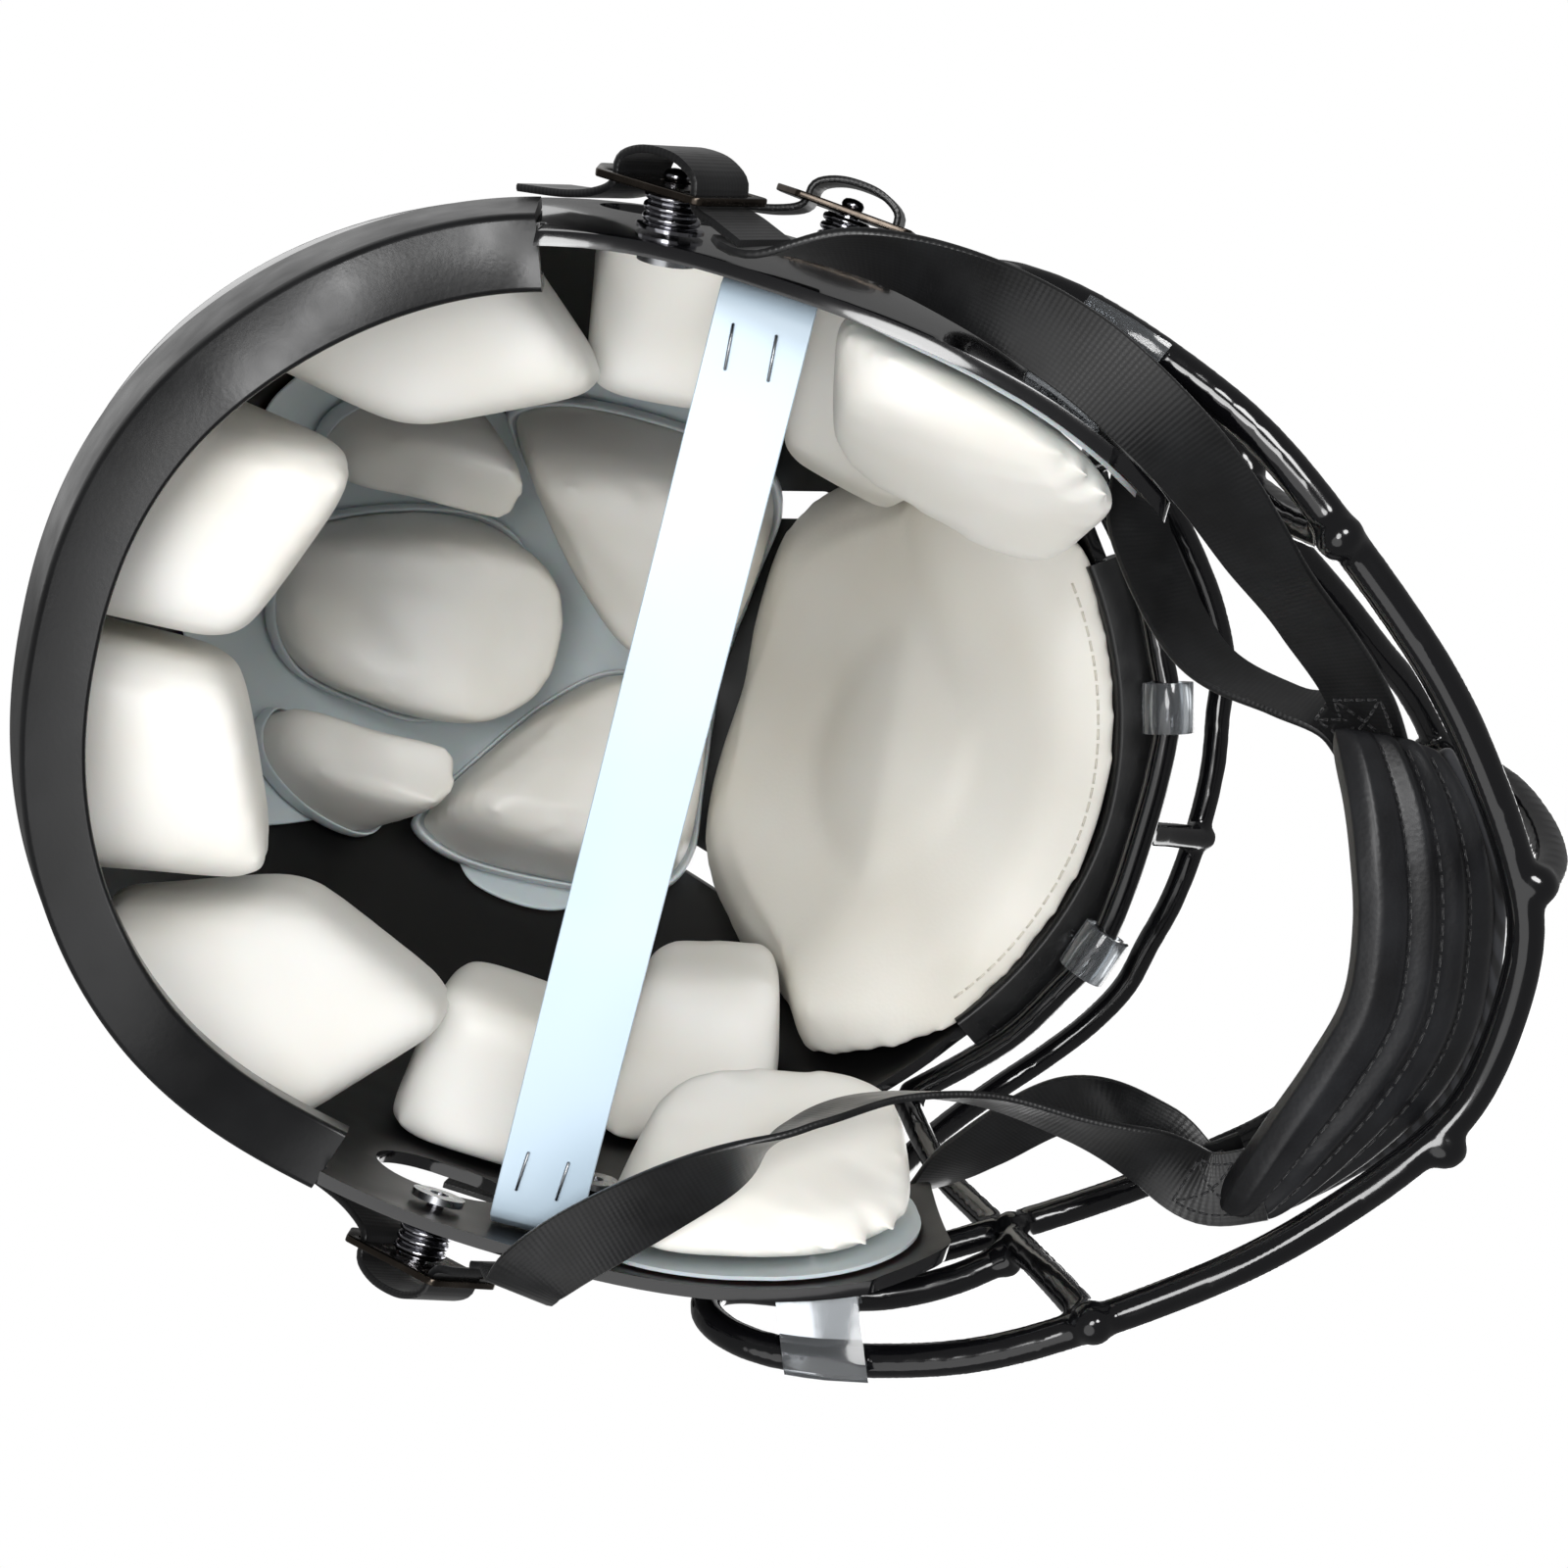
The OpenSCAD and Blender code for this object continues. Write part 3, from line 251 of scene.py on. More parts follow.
@dataclass(frozen=True)
class Seat:
    """A frame that stands on the shell: its origin, and its along, across and outward directions."""

    origin: np.ndarray
    along: np.ndarray
    across: np.ndarray
    out: np.ndarray

    @staticmethod
    def on(origin: np.ndarray, out: np.ndarray, along: Sequence) -> "Seat":
        """Returns the seat at a point with that outward direction, turned towards along."""
        x = unit(point(*along) - out * (out @ point(*along)))
        return Seat(origin, x, np.cross(out, x), out)

    def to(self, local: np.ndarray) -> np.ndarray:
        """Returns local points in the object's own directions."""
        q = np.asarray(local, float)
        return self.origin + q[..., :1] * self.along + q[..., 1:2] * self.across + q[..., 2:3] * self.out


# Meshes
def in_frame(points: np.ndarray) -> np.ndarray:
    """Turns points in millimetres about the ear line into the frame's metres."""
    return (points + [0, SHELL.middle_y, 0]) * MM


def made(name: str, points: np.ndarray, faces: list, flip: bool = False) -> Object:
    """Makes a mesh object from points in millimetres about the ear line.

    Args:
        name: the object's name.
        points: its points.
        faces: its faces, as lists of point numbers.
        flip: whether it is mirrored to the other side.

    Returns:
        The object, shaded smooth, with its faces outward.
    """
    p = np.asarray(points, float) * (MIRROR if flip else 1)
    mesh = bpy.data.meshes.new(name)
    mesh.from_pydata(in_frame(p).tolist(), [],
                     [list(f)[::-1] for f in faces] if flip else [list(f) for f in faces])
    mesh.update()
    piece = bpy.data.objects.new(name, mesh)
    bpy.context.collection.objects.link(piece)
    turn_outward(piece)
    mesh.shade_smooth()
    return piece


def turn_outward(piece: Object) -> None:
    """Turns all faces of a closed mesh outward."""
    b = bmesh.new()
    b.from_mesh(piece.data)
    bmesh.ops.recalc_face_normals(b, faces=b.faces)
    b.to_mesh(piece.data)
    b.free()


def grid_faces(rows: int, across: int, start: int = 0) -> list:
    """Faces between closed rows of points."""
    faces = []
    for low in range(start, start + (rows - 1) * across, across):
        for k in range(across):
            after = (k + 1) % across
            faces.append([low + k, low + across + k, low + across + after, low + after])
    return faces


def lofted(name: str, rows: np.ndarray, flip: bool = False) -> Object:
    """Skins a stack of closed rings and closes both ends.

    Args:
        name: the object's name.
        rows: the rings, each the same number of points.
        flip: whether it is mirrored to the other side.

    Returns:
        The object.
    """
    m, n = rows.shape[:2]
    ends = [list(range(n)), list(range(m * n - 1, (m - 1) * n - 1, -1))]
    return made(name, rows.reshape(-1, 3), grid_faces(m, n) + ends, flip)


def tube(name: str, path: np.ndarray, radius: float, sides: int = 20, rounded: bool = True,
         flip: bool = False) -> Object:
    """Round rod along a path, with its ends rounded over.

    Args:
        name: the object's name.
        path: the points of its middle line.
        radius: its radius.
        sides: facets round it.
        rounded: whether the ends are rounded.
        flip: whether it is mirrored to the other side.

    Returns:
        The object.
    """
    t, u = tangents(path), carried(path, point(0.13, 0.21, 0.97))
    v = np.cross(t, u)
    angle = turns(sides)
    wheel = u[:, None] * np.cos(angle)[:, None] + v[:, None] * np.sin(angle)[:, None]
    rows = list(path[:, None] + radius * wheel)
    for degrees in (35, 65, 84) if rounded else ():
        slim, on = radius * math.cos(math.radians(degrees)), radius * math.sin(math.radians(degrees)) * 0.7
        rows.append(path[-1] + t[-1] * on + slim * wheel[-1])
        rows.insert(0, path[0] - t[0] * on + slim * wheel[0])
    return lofted(name, np.array(rows), flip=flip)


def band(name: str, path: np.ndarray, faces: np.ndarray, width: float, thick: float,
         flip: bool = False, across: int = 6) -> Object:
    """Flat band with softly rounded edges and a length and width map.

    Args:
        name: the object's name.
        path: the points of its middle line.
        faces: the direction that its face looks in at each point.
        width: its width.
        thick: its thickness.
        flip: whether it is mirrored to the other side.
        across: stretches across its face.

    Returns:
        The object.
    """
    t = tangents(path)
    side = unit(np.cross(faces, t))
    up = unit(np.cross(t, side))
    flat = np.linspace(-1, 1, across + 1) * (1 - thick / width * 0.35)
    half = [(x, 1.0) for x in flat] + [(1, 0.45)]
    section = half + [(1, -0.45)] + [(x, -1.0) for x in flat[::-1]] + [(-1, -0.45), (-1, 0.45)]
    rows = np.array([[p + s * x * width / 2 + n * h * thick / 2 for x, h in section]
                     for p, s, n in zip(path, side, up)])
    piece = lofted(name, rows, flip=flip)
    run = distances(path)
    layer = piece.data.uv_layers.new(name="weave")
    place = [(run[i], x * width / 2) for i in range(len(path)) for x, _ in section]
    for loop in piece.data.loops:
        layer.data[loop.index].uv = place[loop.vertex_index]
    return piece


def only(piece: Object) -> None:
    """Makes a piece the only selected and the active one."""
    bpy.ops.object.select_all(action="DESELECT")
    piece.select_set(True)
    bpy.context.view_layer.objects.active = piece


def modified(piece: Object, kind: str, **settings: object) -> Object:
    """Adds one modifier with its settings to a piece and applies it."""
    only(piece)
    m = piece.modifiers.new(kind.lower(), kind)
    for name, value in settings.items():
        setattr(m, name, value)
    bpy.ops.object.modifier_apply(modifier=m.name)
    return piece


def cut(piece: Object, *tools: Object) -> Object:
    """Takes each tool's shape out of a piece, and deletes the tools."""
    for tool in tools:
        modified(piece, "BOOLEAN", operation="DIFFERENCE", solver="EXACT", object=tool)
        bpy.data.objects.remove(tool)
    return piece


def joined(name: str, pieces: list) -> Object:
    """Joins pieces into one object of that name."""
    only(pieces[0])
    for p in pieces:
        p.select_set(True)
    bpy.ops.object.join()
    pieces[0].name = name
    return pieces[0]


def smooth_by_angle(piece: Object, degrees: float) -> Object:
    """Shades a piece smooth apart from edges sharper than an angle."""
    only(piece)
    bpy.ops.object.shade_smooth_by_angle(angle=math.radians(degrees))
    return piece


def eased(piece: Object, width: float, segments: int, edge: float, smooth: float) -> Object:
    """Rounds a piece's edges.

    Args:
        piece: the piece.
        width: how wide the rounding is.
        segments: its facets.
        edge: the angle above which an edge is rounded, in degrees.
        smooth: the angle up to which the result is shaded smooth.

    Returns:
        The piece.
    """
    modified(piece, "BEVEL", width=width * MM, segments=segments, limit_method="ANGLE",
             angle_limit=math.radians(edge))
    return smooth_by_angle(piece, smooth)


def melted(piece: Object, voxel: float, passes: int) -> Object:
    """Melts the shapes of a piece into one skin of that grain, and smooths it in a number of passes."""
    modified(piece, "REMESH", mode="VOXEL", voxel_size=voxel * MM, use_smooth_shade=True)
    return modified(piece, "SMOOTH", factor=0.5, iterations=passes)


def subdivided(piece: Object) -> Object:
    """Subdivides a piece once and shades it smooth."""
    modified(piece, "SUBSURF", levels=1, render_levels=1)
    piece.data.shade_smooth()
    return piece


def prism(name: str, outline: np.ndarray, low: float, high: float, seat: Seat | None = None,
          flip: bool = False) -> Object:
    """Straight block with that outline.

    Args:
        name: the object's name.
        outline: its outline, in the seat's along and across directions.
        low: its lower end along the seat's outward direction.
        high: its upper end.
        seat: the frame that it stands in; without one the outline lies in y and z and it runs along x.
        flip: whether it is mirrored to the other side.

    Returns:
        The object.
    """
    rows = [[(x, y, h) for x, y in outline] for h in (low, high)]
    if seat is None:
        rows = [[(h, x, y) for x, y, h in row] for row in rows]
        return lofted(name, np.array(rows, float), flip=flip)
    return lofted(name, seat.to(rows), flip=flip)


def turned(name: str, profile: Sequence, seat: Seat, sides: int = 40, flip: bool = False) -> Object:
    """Turned piece: its profile of radius and height spun about the seat's outward direction.

    Args:
        name: the object's name.
        profile: radius and height of each point, from one end of the axis to the other.
        seat: the frame whose outward direction is the axis.
        sides: facets round it.
        flip: whether it is mirrored to the other side.

    Returns:
        The object.
    """
    angle = turns(sides)
    rows = np.array([[(max(r, 0.02) * math.cos(a), max(r, 0.02) * math.sin(a), h) for a in angle]
                     for r, h in profile])
    return smooth_by_angle(lofted(name, seat.to(rows), flip=flip), 40)


# Finishes
def linear(code: str) -> tuple:
    """Turns an sRGB hex code into a linear colour with its alpha."""
    parts = [int(code[i:i + 2], 16) / 255 for i in (1, 3, 5)]
    return (*[c / 12.92 if c <= 0.04045 else ((c + 0.055) / 1.055) ** 2.4 for c in parts], 1.0)


def per_mm(size: float) -> float:
    """Scale on metre coordinates of a pattern whose features are that many millimetres across."""
    return 1 / (size * MM)


class Nodes:
    """A node tree under construction."""

    def __init__(self, tree: NodeTree) -> None:
        """Takes the tree that the nodes go into."""
        self.tree = tree

    def add(self, kind: str, links: dict | None = None, **settings: object) -> Node:
        """Adds one node.

        Args:
            kind: the node's type without its ShaderNode prefix.
            links: what each input takes: a number, a colour, or a (node, output) pair.
            settings: the node's own settings.

        Returns:
            The node.
        """
        n = self.tree.nodes.new("ShaderNode" + kind)
        for name, value in settings.items():
            setattr(n, name, value)
        for socket, value in (links or {}).items():
            self.feed(n.inputs[socket], value)
        return n

    def feed(self, socket: NodeSocket, value: object) -> None:
        """Links a (node, output) pair to a socket, or sets the socket's value."""
        if isinstance(value, tuple) and isinstance(value[0], Node):
            self.tree.links.new(value[0].outputs[value[1]], socket)
        else:
            socket.default_value = value

    def maths(self, operation: str, *values: tuple | float, **settings: object) -> tuple:
        """Returns one sum of two or three values."""
        return self.add("Math", dict(enumerate(values)), operation=operation, **settings), 0


class Recipe(Nodes):
    """One material under construction: its node tree and its shader."""

    def __init__(self, name: str) -> None:
        """Starts a material of that name."""
        self.material = bpy.data.materials.new(name)
        self.material.use_nodes = True
        super().__init__(self.material.node_tree)
        self.shader = self.tree.nodes["Principled BSDF"]

    def place(self) -> tuple:
        """Returns the object's own coordinates as a node and output."""
        return self.add("TexCoord"), "Object"

    def noise(self, mm: float, detail: float = 2.0) -> tuple:
        """Returns a soft noise whose features are that many millimetres across."""
        return self.add("TexNoise", {"Vector": self.place(), "Scale": per_mm(mm), "Detail": detail,
                                     "Roughness": 0.5}), "Fac"

    def ramp(self, source: tuple, stops: tuple) -> tuple:
        """Returns source turned into colours or levels by a ramp of (place, hex or level) stops."""
        n = self.add("ValToRGB", {"Fac": source})
        for e, (where, value) in zip(n.color_ramp.elements, stops):
            e.position = where
            e.color = linear(value) if isinstance(value, str) else (value, value, value, 1)
        return n, "Color"

    def bump(self, height: tuple, depth_mm: float, strength: float, over: tuple | None = None) -> tuple:
        """Returns a normal raised by a height pattern of that depth, on top of another normal."""
        links = {"Height": height, "Distance": depth_mm * MM, "Strength": strength}
        return self.add("Bump", links | ({"Normal": over} if over else {})), "Normal"

    def finish(self, **sockets: object) -> Material:
        """Sets or links the shader's sockets and returns the material."""
        for socket, value in sockets.items():
            self.feed(self.shader.inputs[socket.replace("_", " ")], value)
        return self.material


@dataclass(frozen=True)
class Finish:
    """A material: its shader's values, and the noise patterns that vary its tone, gloss and relief.

    Coat is a weight and a roughness, subsurface a weight and a scale in metres. Tones and gloss are
    a noise's size and the two stops of a ramp over it. Relief is layers of noise, each its size, detail,
    depth and strength, and pebble a cell pattern's size, depth and strength on top. Sizes and depths are
    in millimetres.
    """

    name: str = ""
    shade: str = ""
    ior: float = 1.5
    roughness: float = 0.4
    metallic: float = 0.0
    coat: tuple = (0.0, 0.03)
    transmission: float = 0.0
    subsurface: tuple = (0.0, 0.003)
    sheen: float = 0.0
    tones: tuple = ()
    gloss: tuple = ()
    relief: tuple = ()
    pebble: tuple = ()

    def varied(self, r: Recipe) -> dict:
        """Returns the patterned sockets: tone, gloss and relief."""
        links = {}
        for socket, pattern in (("Base_Color", self.tones), ("Roughness", self.gloss)):
            if pattern:
                links[socket] = r.ramp(r.noise(pattern[0]), pattern[1:])
        over = None
        for size, detail, depth, strength in self.relief:
            over = r.bump(r.noise(size, detail), depth, strength, over)
        if self.pebble:
            size, depth, strength = self.pebble
            cells = r.add("TexVoronoi", {"Vector": r.place(), "Scale": per_mm(size)})
            over = r.bump((cells, "Distance"), depth, strength, over)
        return links | ({"Normal": over} if over else {})

    def material(self) -> Material:
        """Builds the finish's material."""
        r = Recipe(self.name)
        values = {"Base_Color": linear(self.shade), "IOR": self.ior, "Roughness": self.roughness,
                  "Metallic": self.metallic, "Coat_Weight": self.coat[0], "Coat_Roughness": self.coat[1],
                  "Transmission_Weight": self.transmission, "Subsurface_Weight": self.subsurface[0],
                  "Subsurface_Scale": self.subsurface[1], "Sheen_Weight": self.sheen}
        r.finish(**values)
        return r.finish(**self.varied(r))


@dataclass(frozen=True)
class PolycarbonateShell(Finish):
    """Injection moulded polycarbonate with a clear coat: deep black, wet gloss, faint orange peel."""

    name: str = "moulded_polycarbonate_gloss"
    shade: str = "#0A0A0C"
    ior: float = 1.55
    roughness: float = 0.13
    coat: tuple = (0.6, 0.05)
    relief: tuple = ((7, 1, 0.05, 0.6),)


@dataclass(frozen=True)
class PolycarbonateInside(Finish):
    """The same shell's inner face as it leaves the mould: satin black with a fine grain."""

    name: str = "moulded_polycarbonate_satin"
    shade: str = "#0B0B0C"
    gloss: tuple = (30, (0.35, 0.36), (0.7, 0.5))
    relief: tuple = ((0.9, 3, 0.05, 0.5),)


@dataclass(frozen=True)
class VinylBumper(Finish):
    """Extruded and moulded soft vinyl edge: satin black, slightly grey where it catches light."""

    name: str = "moulded_vinyl_satin"
    shade: str = "#111214"
    tones: tuple = (26, (0.3, "#070708"), (0.75, "#101113"))
    gloss: tuple = (12, (0.3, 0.27), (0.75, 0.42))
    relief: tuple = ((1.1, 3, 0.06, 0.45),)


@dataclass(frozen=True)
class DipCoat(Finish):
    """Steel wire dipped in black polyethylene powder: thick, glossy and slightly wavy."""

    name: str = "dip_coated_wire"
    shade: str = "#08080A"
    coat: tuple = (0.4, 0.08)
    gloss: tuple = (14, (0.3, 0.1), (0.8, 0.2))
    relief: tuple = ((14, 1, 0.16, 0.5),)


@dataclass(frozen=True)
class ClearClip(Finish):
    """Moulded clear polycarbonate clip: smoky grey, see-through with bright edges."""

    name: str = "moulded_clear_clip"
    shade: str = "#A6AAAE"
    ior: float = 1.58
    roughness: float = 0.12
    transmission: float = 0.9
    relief: tuple = ((5, 1, 0.08, 0.6),)


@dataclass(frozen=True)
class PlatedSteel(Finish):
    """Zinc plated turned steel: pale grey with fine turning marks."""

    name: str = "zinc_plated_steel"
    shade: str = "#A9ABAE"
    metallic: float = 1.0
    gloss: tuple = (4, (0.3, 0.22), (0.8, 0.42))
    relief: tuple = ((0.6, 3, 0.02, 0.5),)


@dataclass(frozen=True)
class DarkChrome(Finish):
    """Turned brass with black chrome plating: dark mirror with bright rims."""

    name: str = "black_chrome"
    shade: str = "#9C9CA2"
    metallic: float = 1.0
    gloss: tuple = (3, (0.3, 0.08), (0.8, 0.2))


@dataclass(frozen=True)
class BronzePlate(Finish):
    """Stamped steel plate with dark bronze plating, a little clouded."""

    name: str = "dark_bronze_plate"
    shade: str = "#4A433D"
    metallic: float = 1.0
    tones: tuple = (8, (0.3, "#3B3530"), (0.8, "#5E564E"))
    gloss: tuple = (2.5, (0.3, 0.16), (0.8, 0.34))


@dataclass(frozen=True)
class Webbing(Finish):
    """Woven polyester webbing coated with vinyl: black, with a rib across it and a finer weave along it."""

    name: str = "coated_webbing"
    shade: str = "#0C0C0E"
    sheen: float = 0.08
    tones: tuple = (11, (0.35, "#050506"), (0.8, "#0F1012"))
    gloss: tuple = (6, (0.3, 0.28), (0.8, 0.46))
    rib: float = 1.1
    weave: float = 0.9
    weave_share: float = 0.25
    depth: float = 0.03

    def varied(self, r: Recipe) -> dict:
        """Returns the patterned sockets, with ribs that follow the length and width map, in millimetres."""
        split = r.add("SeparateXYZ", {"Vector": (r.add("UVMap"), "UV")})
        ribs = r.maths("SINE", r.maths("MULTIPLY", (split, "X"), 2 * math.pi / self.rib))
        weave = r.maths("SINE", r.maths("MULTIPLY", (split, "Y"), 2 * math.pi / self.weave))
        height = r.maths("ADD", ribs, r.maths("MULTIPLY", weave, self.weave_share))
        return super().varied(r) | {"Normal": r.bump(height, self.depth, 0.4)}


@dataclass(frozen=True)
class CupVinyl(Finish):
    """Black cloth backed vinyl over foam: fine pebble grain, soft sheen on the crowns."""

    name: str = "padded_black_vinyl"
    shade: str = "#141416"
    tones: tuple = (14, (0.3, "#111113"), (0.8, "#1F2023"))
    relief: tuple = ((9, 2, 0.5, 0.5),)
    pebble: tuple = (1.1, 0.06, 0.6)


@dataclass(frozen=True)
class WhiteVinyl(Finish):
    """Vacuum formed white vinyl over foam: smooth and soft, slightly warm, with shallow dents."""

    name: str = "formed_white_vinyl"
    shade: str = "#EDECE7"
    ior: float = 1.46
    coat: tuple = (0.08, 0.3)
    subsurface: tuple = (0.08, 0.004)
    tones: tuple = (45, (0.3, "#F1F0EC"), (0.75, "#E6E3DA"))
    gloss: tuple = (18, (0.3, 0.36), (0.8, 0.5))
    relief: tuple = ((24, 1, 0.9, 0.35), (1.4, 3, 0.035, 0.5))


@dataclass(frozen=True)
class CreamLeather(Finish):
    """Corrected grain leather over foam: cream white with a fine pebble and soft hollows."""

    name: str = "cream_leather"
    shade: str = "#EAE7DE"
    ior: float = 1.46
    roughness: float = 0.5
    subsurface: tuple = (0.05, 0.003)
    tones: tuple = (60, (0.3, "#EDEBE4"), (0.75, "#E3DED2"))
    relief: tuple = ((40, 1, 1.2, 0.3),)
    pebble: tuple = (1.2, 0.05, 0.45)


@dataclass(frozen=True)
class TrayPlastic(Finish):
    """Vacuum formed polyethylene sheet: pale blue, milky and slightly see-through."""

    name: str = "formed_polyethylene_blue"
    shade: str = "#E6EEF1"
    roughness: float = 0.28
    transmission: float = 0.2
    subsurface: tuple = (0.2, 0.003)
    relief: tuple = ((8, 2, 0.3, 0.5),)


@dataclass(frozen=True)
class StripPlastic(Finish):
    """Die cut polypropylene strip: pale blue, even and smooth, with a faint sheet grain."""

    name: str = "die_cut_polypropylene"
    shade: str = "#BCCDDB"
    ior: float = 1.49
    roughness: float = 0.34
    tones: tuple = (50, (0.3, "#BECFDC"), (0.8, "#B4C7D6"))
    relief: tuple = ((2, 2, 0.02, 0.4),)


@dataclass(frozen=True)
class CordBraid(Finish):
    """Braided polyester piping: black, with slanted strands."""

    name: str = "braided_polyester_piping"
    shade: str = "#161618"
    roughness: float = 0.75
    sheen: float = 0.2
    strand: float = 1.5
    depth: float = 0.2

    def varied(self, r: Recipe) -> dict:
        """Returns the relief of strands that run slantwise, and a tone with painted shade darkening the
        grooves between them.
        """
        scale = per_mm(self.strand) / 6.28
        wave = (r.add("TexWave", {"Vector": r.place(), "Scale": scale, "Distortion": 1.0},
                      bands_direction="DIAGONAL"), "Fac")
        # painted shade: the colour follows the strands' height, darker in the grooves and lighter on the
        # strand tops
        return {"Base_Color": r.ramp(wave, ((0.2, "#0B0B0D"), (0.7, "#26272B"))),
                "Normal": r.bump(wave, self.depth, 0.7)}


@dataclass(frozen=True)
class SewingThread(Finish):
    """Twisted polyester thread, slightly glossy, with its twist as a fine ripple."""

    name: str = "black_thread"
    shade: str = "#101013"
    roughness: float = 0.5
    sheen: float = 0.2
    relief: tuple = ((0.35, 1, 0.05, 0.6),)


class Side(Enum):
    """The wearer's left side, or the right side as its mirror image."""

    LEFT = "left"
    RIGHT = "right"

    @property
    def flip(self) -> bool:
        """Whether a piece made for the left side is mirrored."""
        return self is Side.RIGHT


def dressed(piece: Object, finish: Material, slot: str, body: str,
            *nodes: str) -> Object:
    """Gives a finished piece its material and its body, and hides the solids that it stands for.

    Args:
        piece: the finished piece.
        finish: its material, added if the piece has none; a piece with others already has it first.
        slot: not used.
        body: the body that it rides on, empty for a piece between two bodies, which is left unattached.
        nodes: the solids that it replaces.

    Returns:
        The piece.
    """
    if not piece.data.materials:
        piece.data.materials.append(finish)
    if body:
        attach(piece, body)
    if nodes:
        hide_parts(*nodes)
    LOG.info("%s: %d faces, stands for %s", piece.name, len(piece.data.polygons),
             ", ".join(nodes) or "no solid")
    return piece


def swept(name: str, azimuths: np.ndarray, levels: np.ndarray, section: np.ndarray) -> Object:
    """Sweeps a section along an edge of the shell.

    Args:
        name: the object's name.
        azimuths: azimuth of each station.
        levels: level of the edge at each station.
        section: depth behind the shell's face and height above the edge of each of its points.

    Returns:
        The object.
    """
    rows = SHELL.at(azimuths[:, None], levels[:, None] + section[None, :, 1], section[None, :, 0])
    return smooth_by_angle(lofted(name, rows), 50)


@dataclass
class ShellAssembly:
    """The moulded shell with its openings, and the vinyl bumpers along its edges.

    Places are distances behind the ear line and levels, and the flap is the face opening's outline in them,
    with a radius for each corner. The bumpers' sections are depths behind the shell's face, heights above
    the edge, and radii. Ear and vent are a place, a length and a width.
    """

    sides: int = 192
    belt_rows: int = 36
    dome_rows: int = 40
    rim_end: tuple = (47.0, 19.0)
    rim_run: float = 57.0
    bumper_web: float = 4.5
    jaw: tuple = (-45.0, 2.0)
    step: float = 4.0
    brow: float = 146.0
    brow_web: float = 2.5
    brow_end: float = -103.0
    ear: tuple = (26.0, 62.0, 34.0, 28.0)
    vent: tuple = (62.0, -12.0, 34.0, 9.0)
    vent_turn: float = 14.0
    rounding: float = 1.1
    flap: tuple = ((-190, -60, 0), (-62, -60, 0), (-70, 2, 12), (-88, 12, 6), (-89, 64, 6), (-70, 77, 12),
                   (-62, 94, 12), (-64, 124, 12), (-80, 139, 12), (-100, 146, 12), (-190, 146, 0))
    rear_section: tuple = ((-2.9, 0, 1.6), (-2.9, 24, 1.1), (-0.3, 24, 0.4), (-0.3, 4.2, 0.4), (12, 4.2, 0.8),
                           (12, 10, 0.8), (15, 10, 1.2), (15, 0, 1.5))
    brow_section: tuple = ((-5.2, -0.6, 2.2), (-4.2, 10, 1.9), (-0.3, 10, 0.3), (-0.3, 2.2, 0.3),
                           (4.4, 2.2, 0.3), (4.4, 8, 0.3), (6.6, 8, 0.9), (6.6, -0.6, 1.6))

    def rim(self, y: np.ndarray) -> np.ndarray:
        """Level of the helmet's lower edge at a distance behind the ear line."""
        (end_y, end_z), (jaw_y, jaw_z) = self.rim_end, self.jaw
        falling = 0.5 * (1 + np.cos(np.pi * np.clip((y - end_y) / self.rim_run, 0, 1)))
        rising = 0.5 * (1 - np.cos(np.pi * np.clip((y - jaw_y) / (end_y - jaw_y), 0, 1)))
        return np.where(y > end_y, end_z * falling, jaw_z + rising * (end_z - self.step - jaw_z))

    def wall(self) -> Object:
        """Builds the closed dome with its inner wall, whose faces take the second material."""
        low = np.linspace(-1, SHELL.belt, self.belt_rows)
        rise = np.sin(np.radians(np.linspace(0, 88.5, self.dome_rows)[1:])) ** (2 / SHELL.dome)
        azimuth = np.linspace(0, 360, self.sides, endpoint=False)
        steps = [(k, (k + 1) % self.sides) for k in range(self.sides)]
        points, faces = [], []
        for depth in (0.0, SHELL.wall):
            levels = np.concatenate([low, SHELL.belt + (SHELL.top - depth - SHELL.belt) * rise])
            start = len(points)
            points += SHELL.at(azimuth[None], levels[:, None], depth).reshape(-1, 3).tolist()
            faces += grid_faces(len(levels), self.sides, start)
            last, crown = len(points) - self.sides, len(points)
            points.append([0, SHELL.wide_y, SHELL.top - depth])
            faces += [[last + a, crown, last + b] for a, b in steps]
        inner, skin = len(points) // 2, len(faces)
        faces += [[a, inner + a, inner + b, b] for a, b in steps]
        dome = made("outer_shell_moulding", np.array(points), faces)
        for i, face in enumerate(dome.data.polygons):
            face.material_index = int(skin // 2 <= i < skin)
        return dome

    def openings(self) -> list:
        """Builds the blocks that cut the face opening, the lower edge, the ear holes and the vents."""
        past, below, behind = 140, -20, 182  # the blocks end outside the shell
        ahead = np.linspace(-61, self.rim_end[0], 60)
        after = np.linspace(self.rim_end[0] + 0.01, self.rim_end[0] + self.rim_run, 60)
        edge = np.vstack([[[-150, below], [-150, self.jaw[1]]], np.column_stack([ahead, self.rim(ahead)]),
                          np.column_stack([after, self.rim(after) + self.bumper_web]),
                          [[behind, self.bumper_web], [behind, below]]])
        ear_y, ear_z, length, height = self.ear
        hole = self.stadium(length - height, height / 2) + [ear_y, ear_z]
        cuts = [prism("opening_cut", outline, -past, past)
                for outline in (filleted(self.flap, 12, 10), edge, hole)]
        x, y, length, width = self.vent
        for s in (-1, 1):
            a = math.radians(self.vent_turn * s)
            along, across = point(-math.sin(a), math.cos(a), 0), point(math.cos(a), math.sin(a), 0)
            seat = Seat(point(s * x, y, 178), along, -across, point(0, 0, 1))
            cuts.append(prism("vent_cut", self.stadium(length - width, width / 2), 0, 80, seat))
        return cuts

    @staticmethod
    def stadium(length: float, radius: float) -> np.ndarray:
        """Returns a slot outline with round ends, its ends' middles that length apart."""
        a = np.radians(np.linspace(-90, 90, 24))
        half = np.column_stack([length / 2 + radius * np.cos(a), radius * np.sin(a)])
        return np.vstack([half, -half])

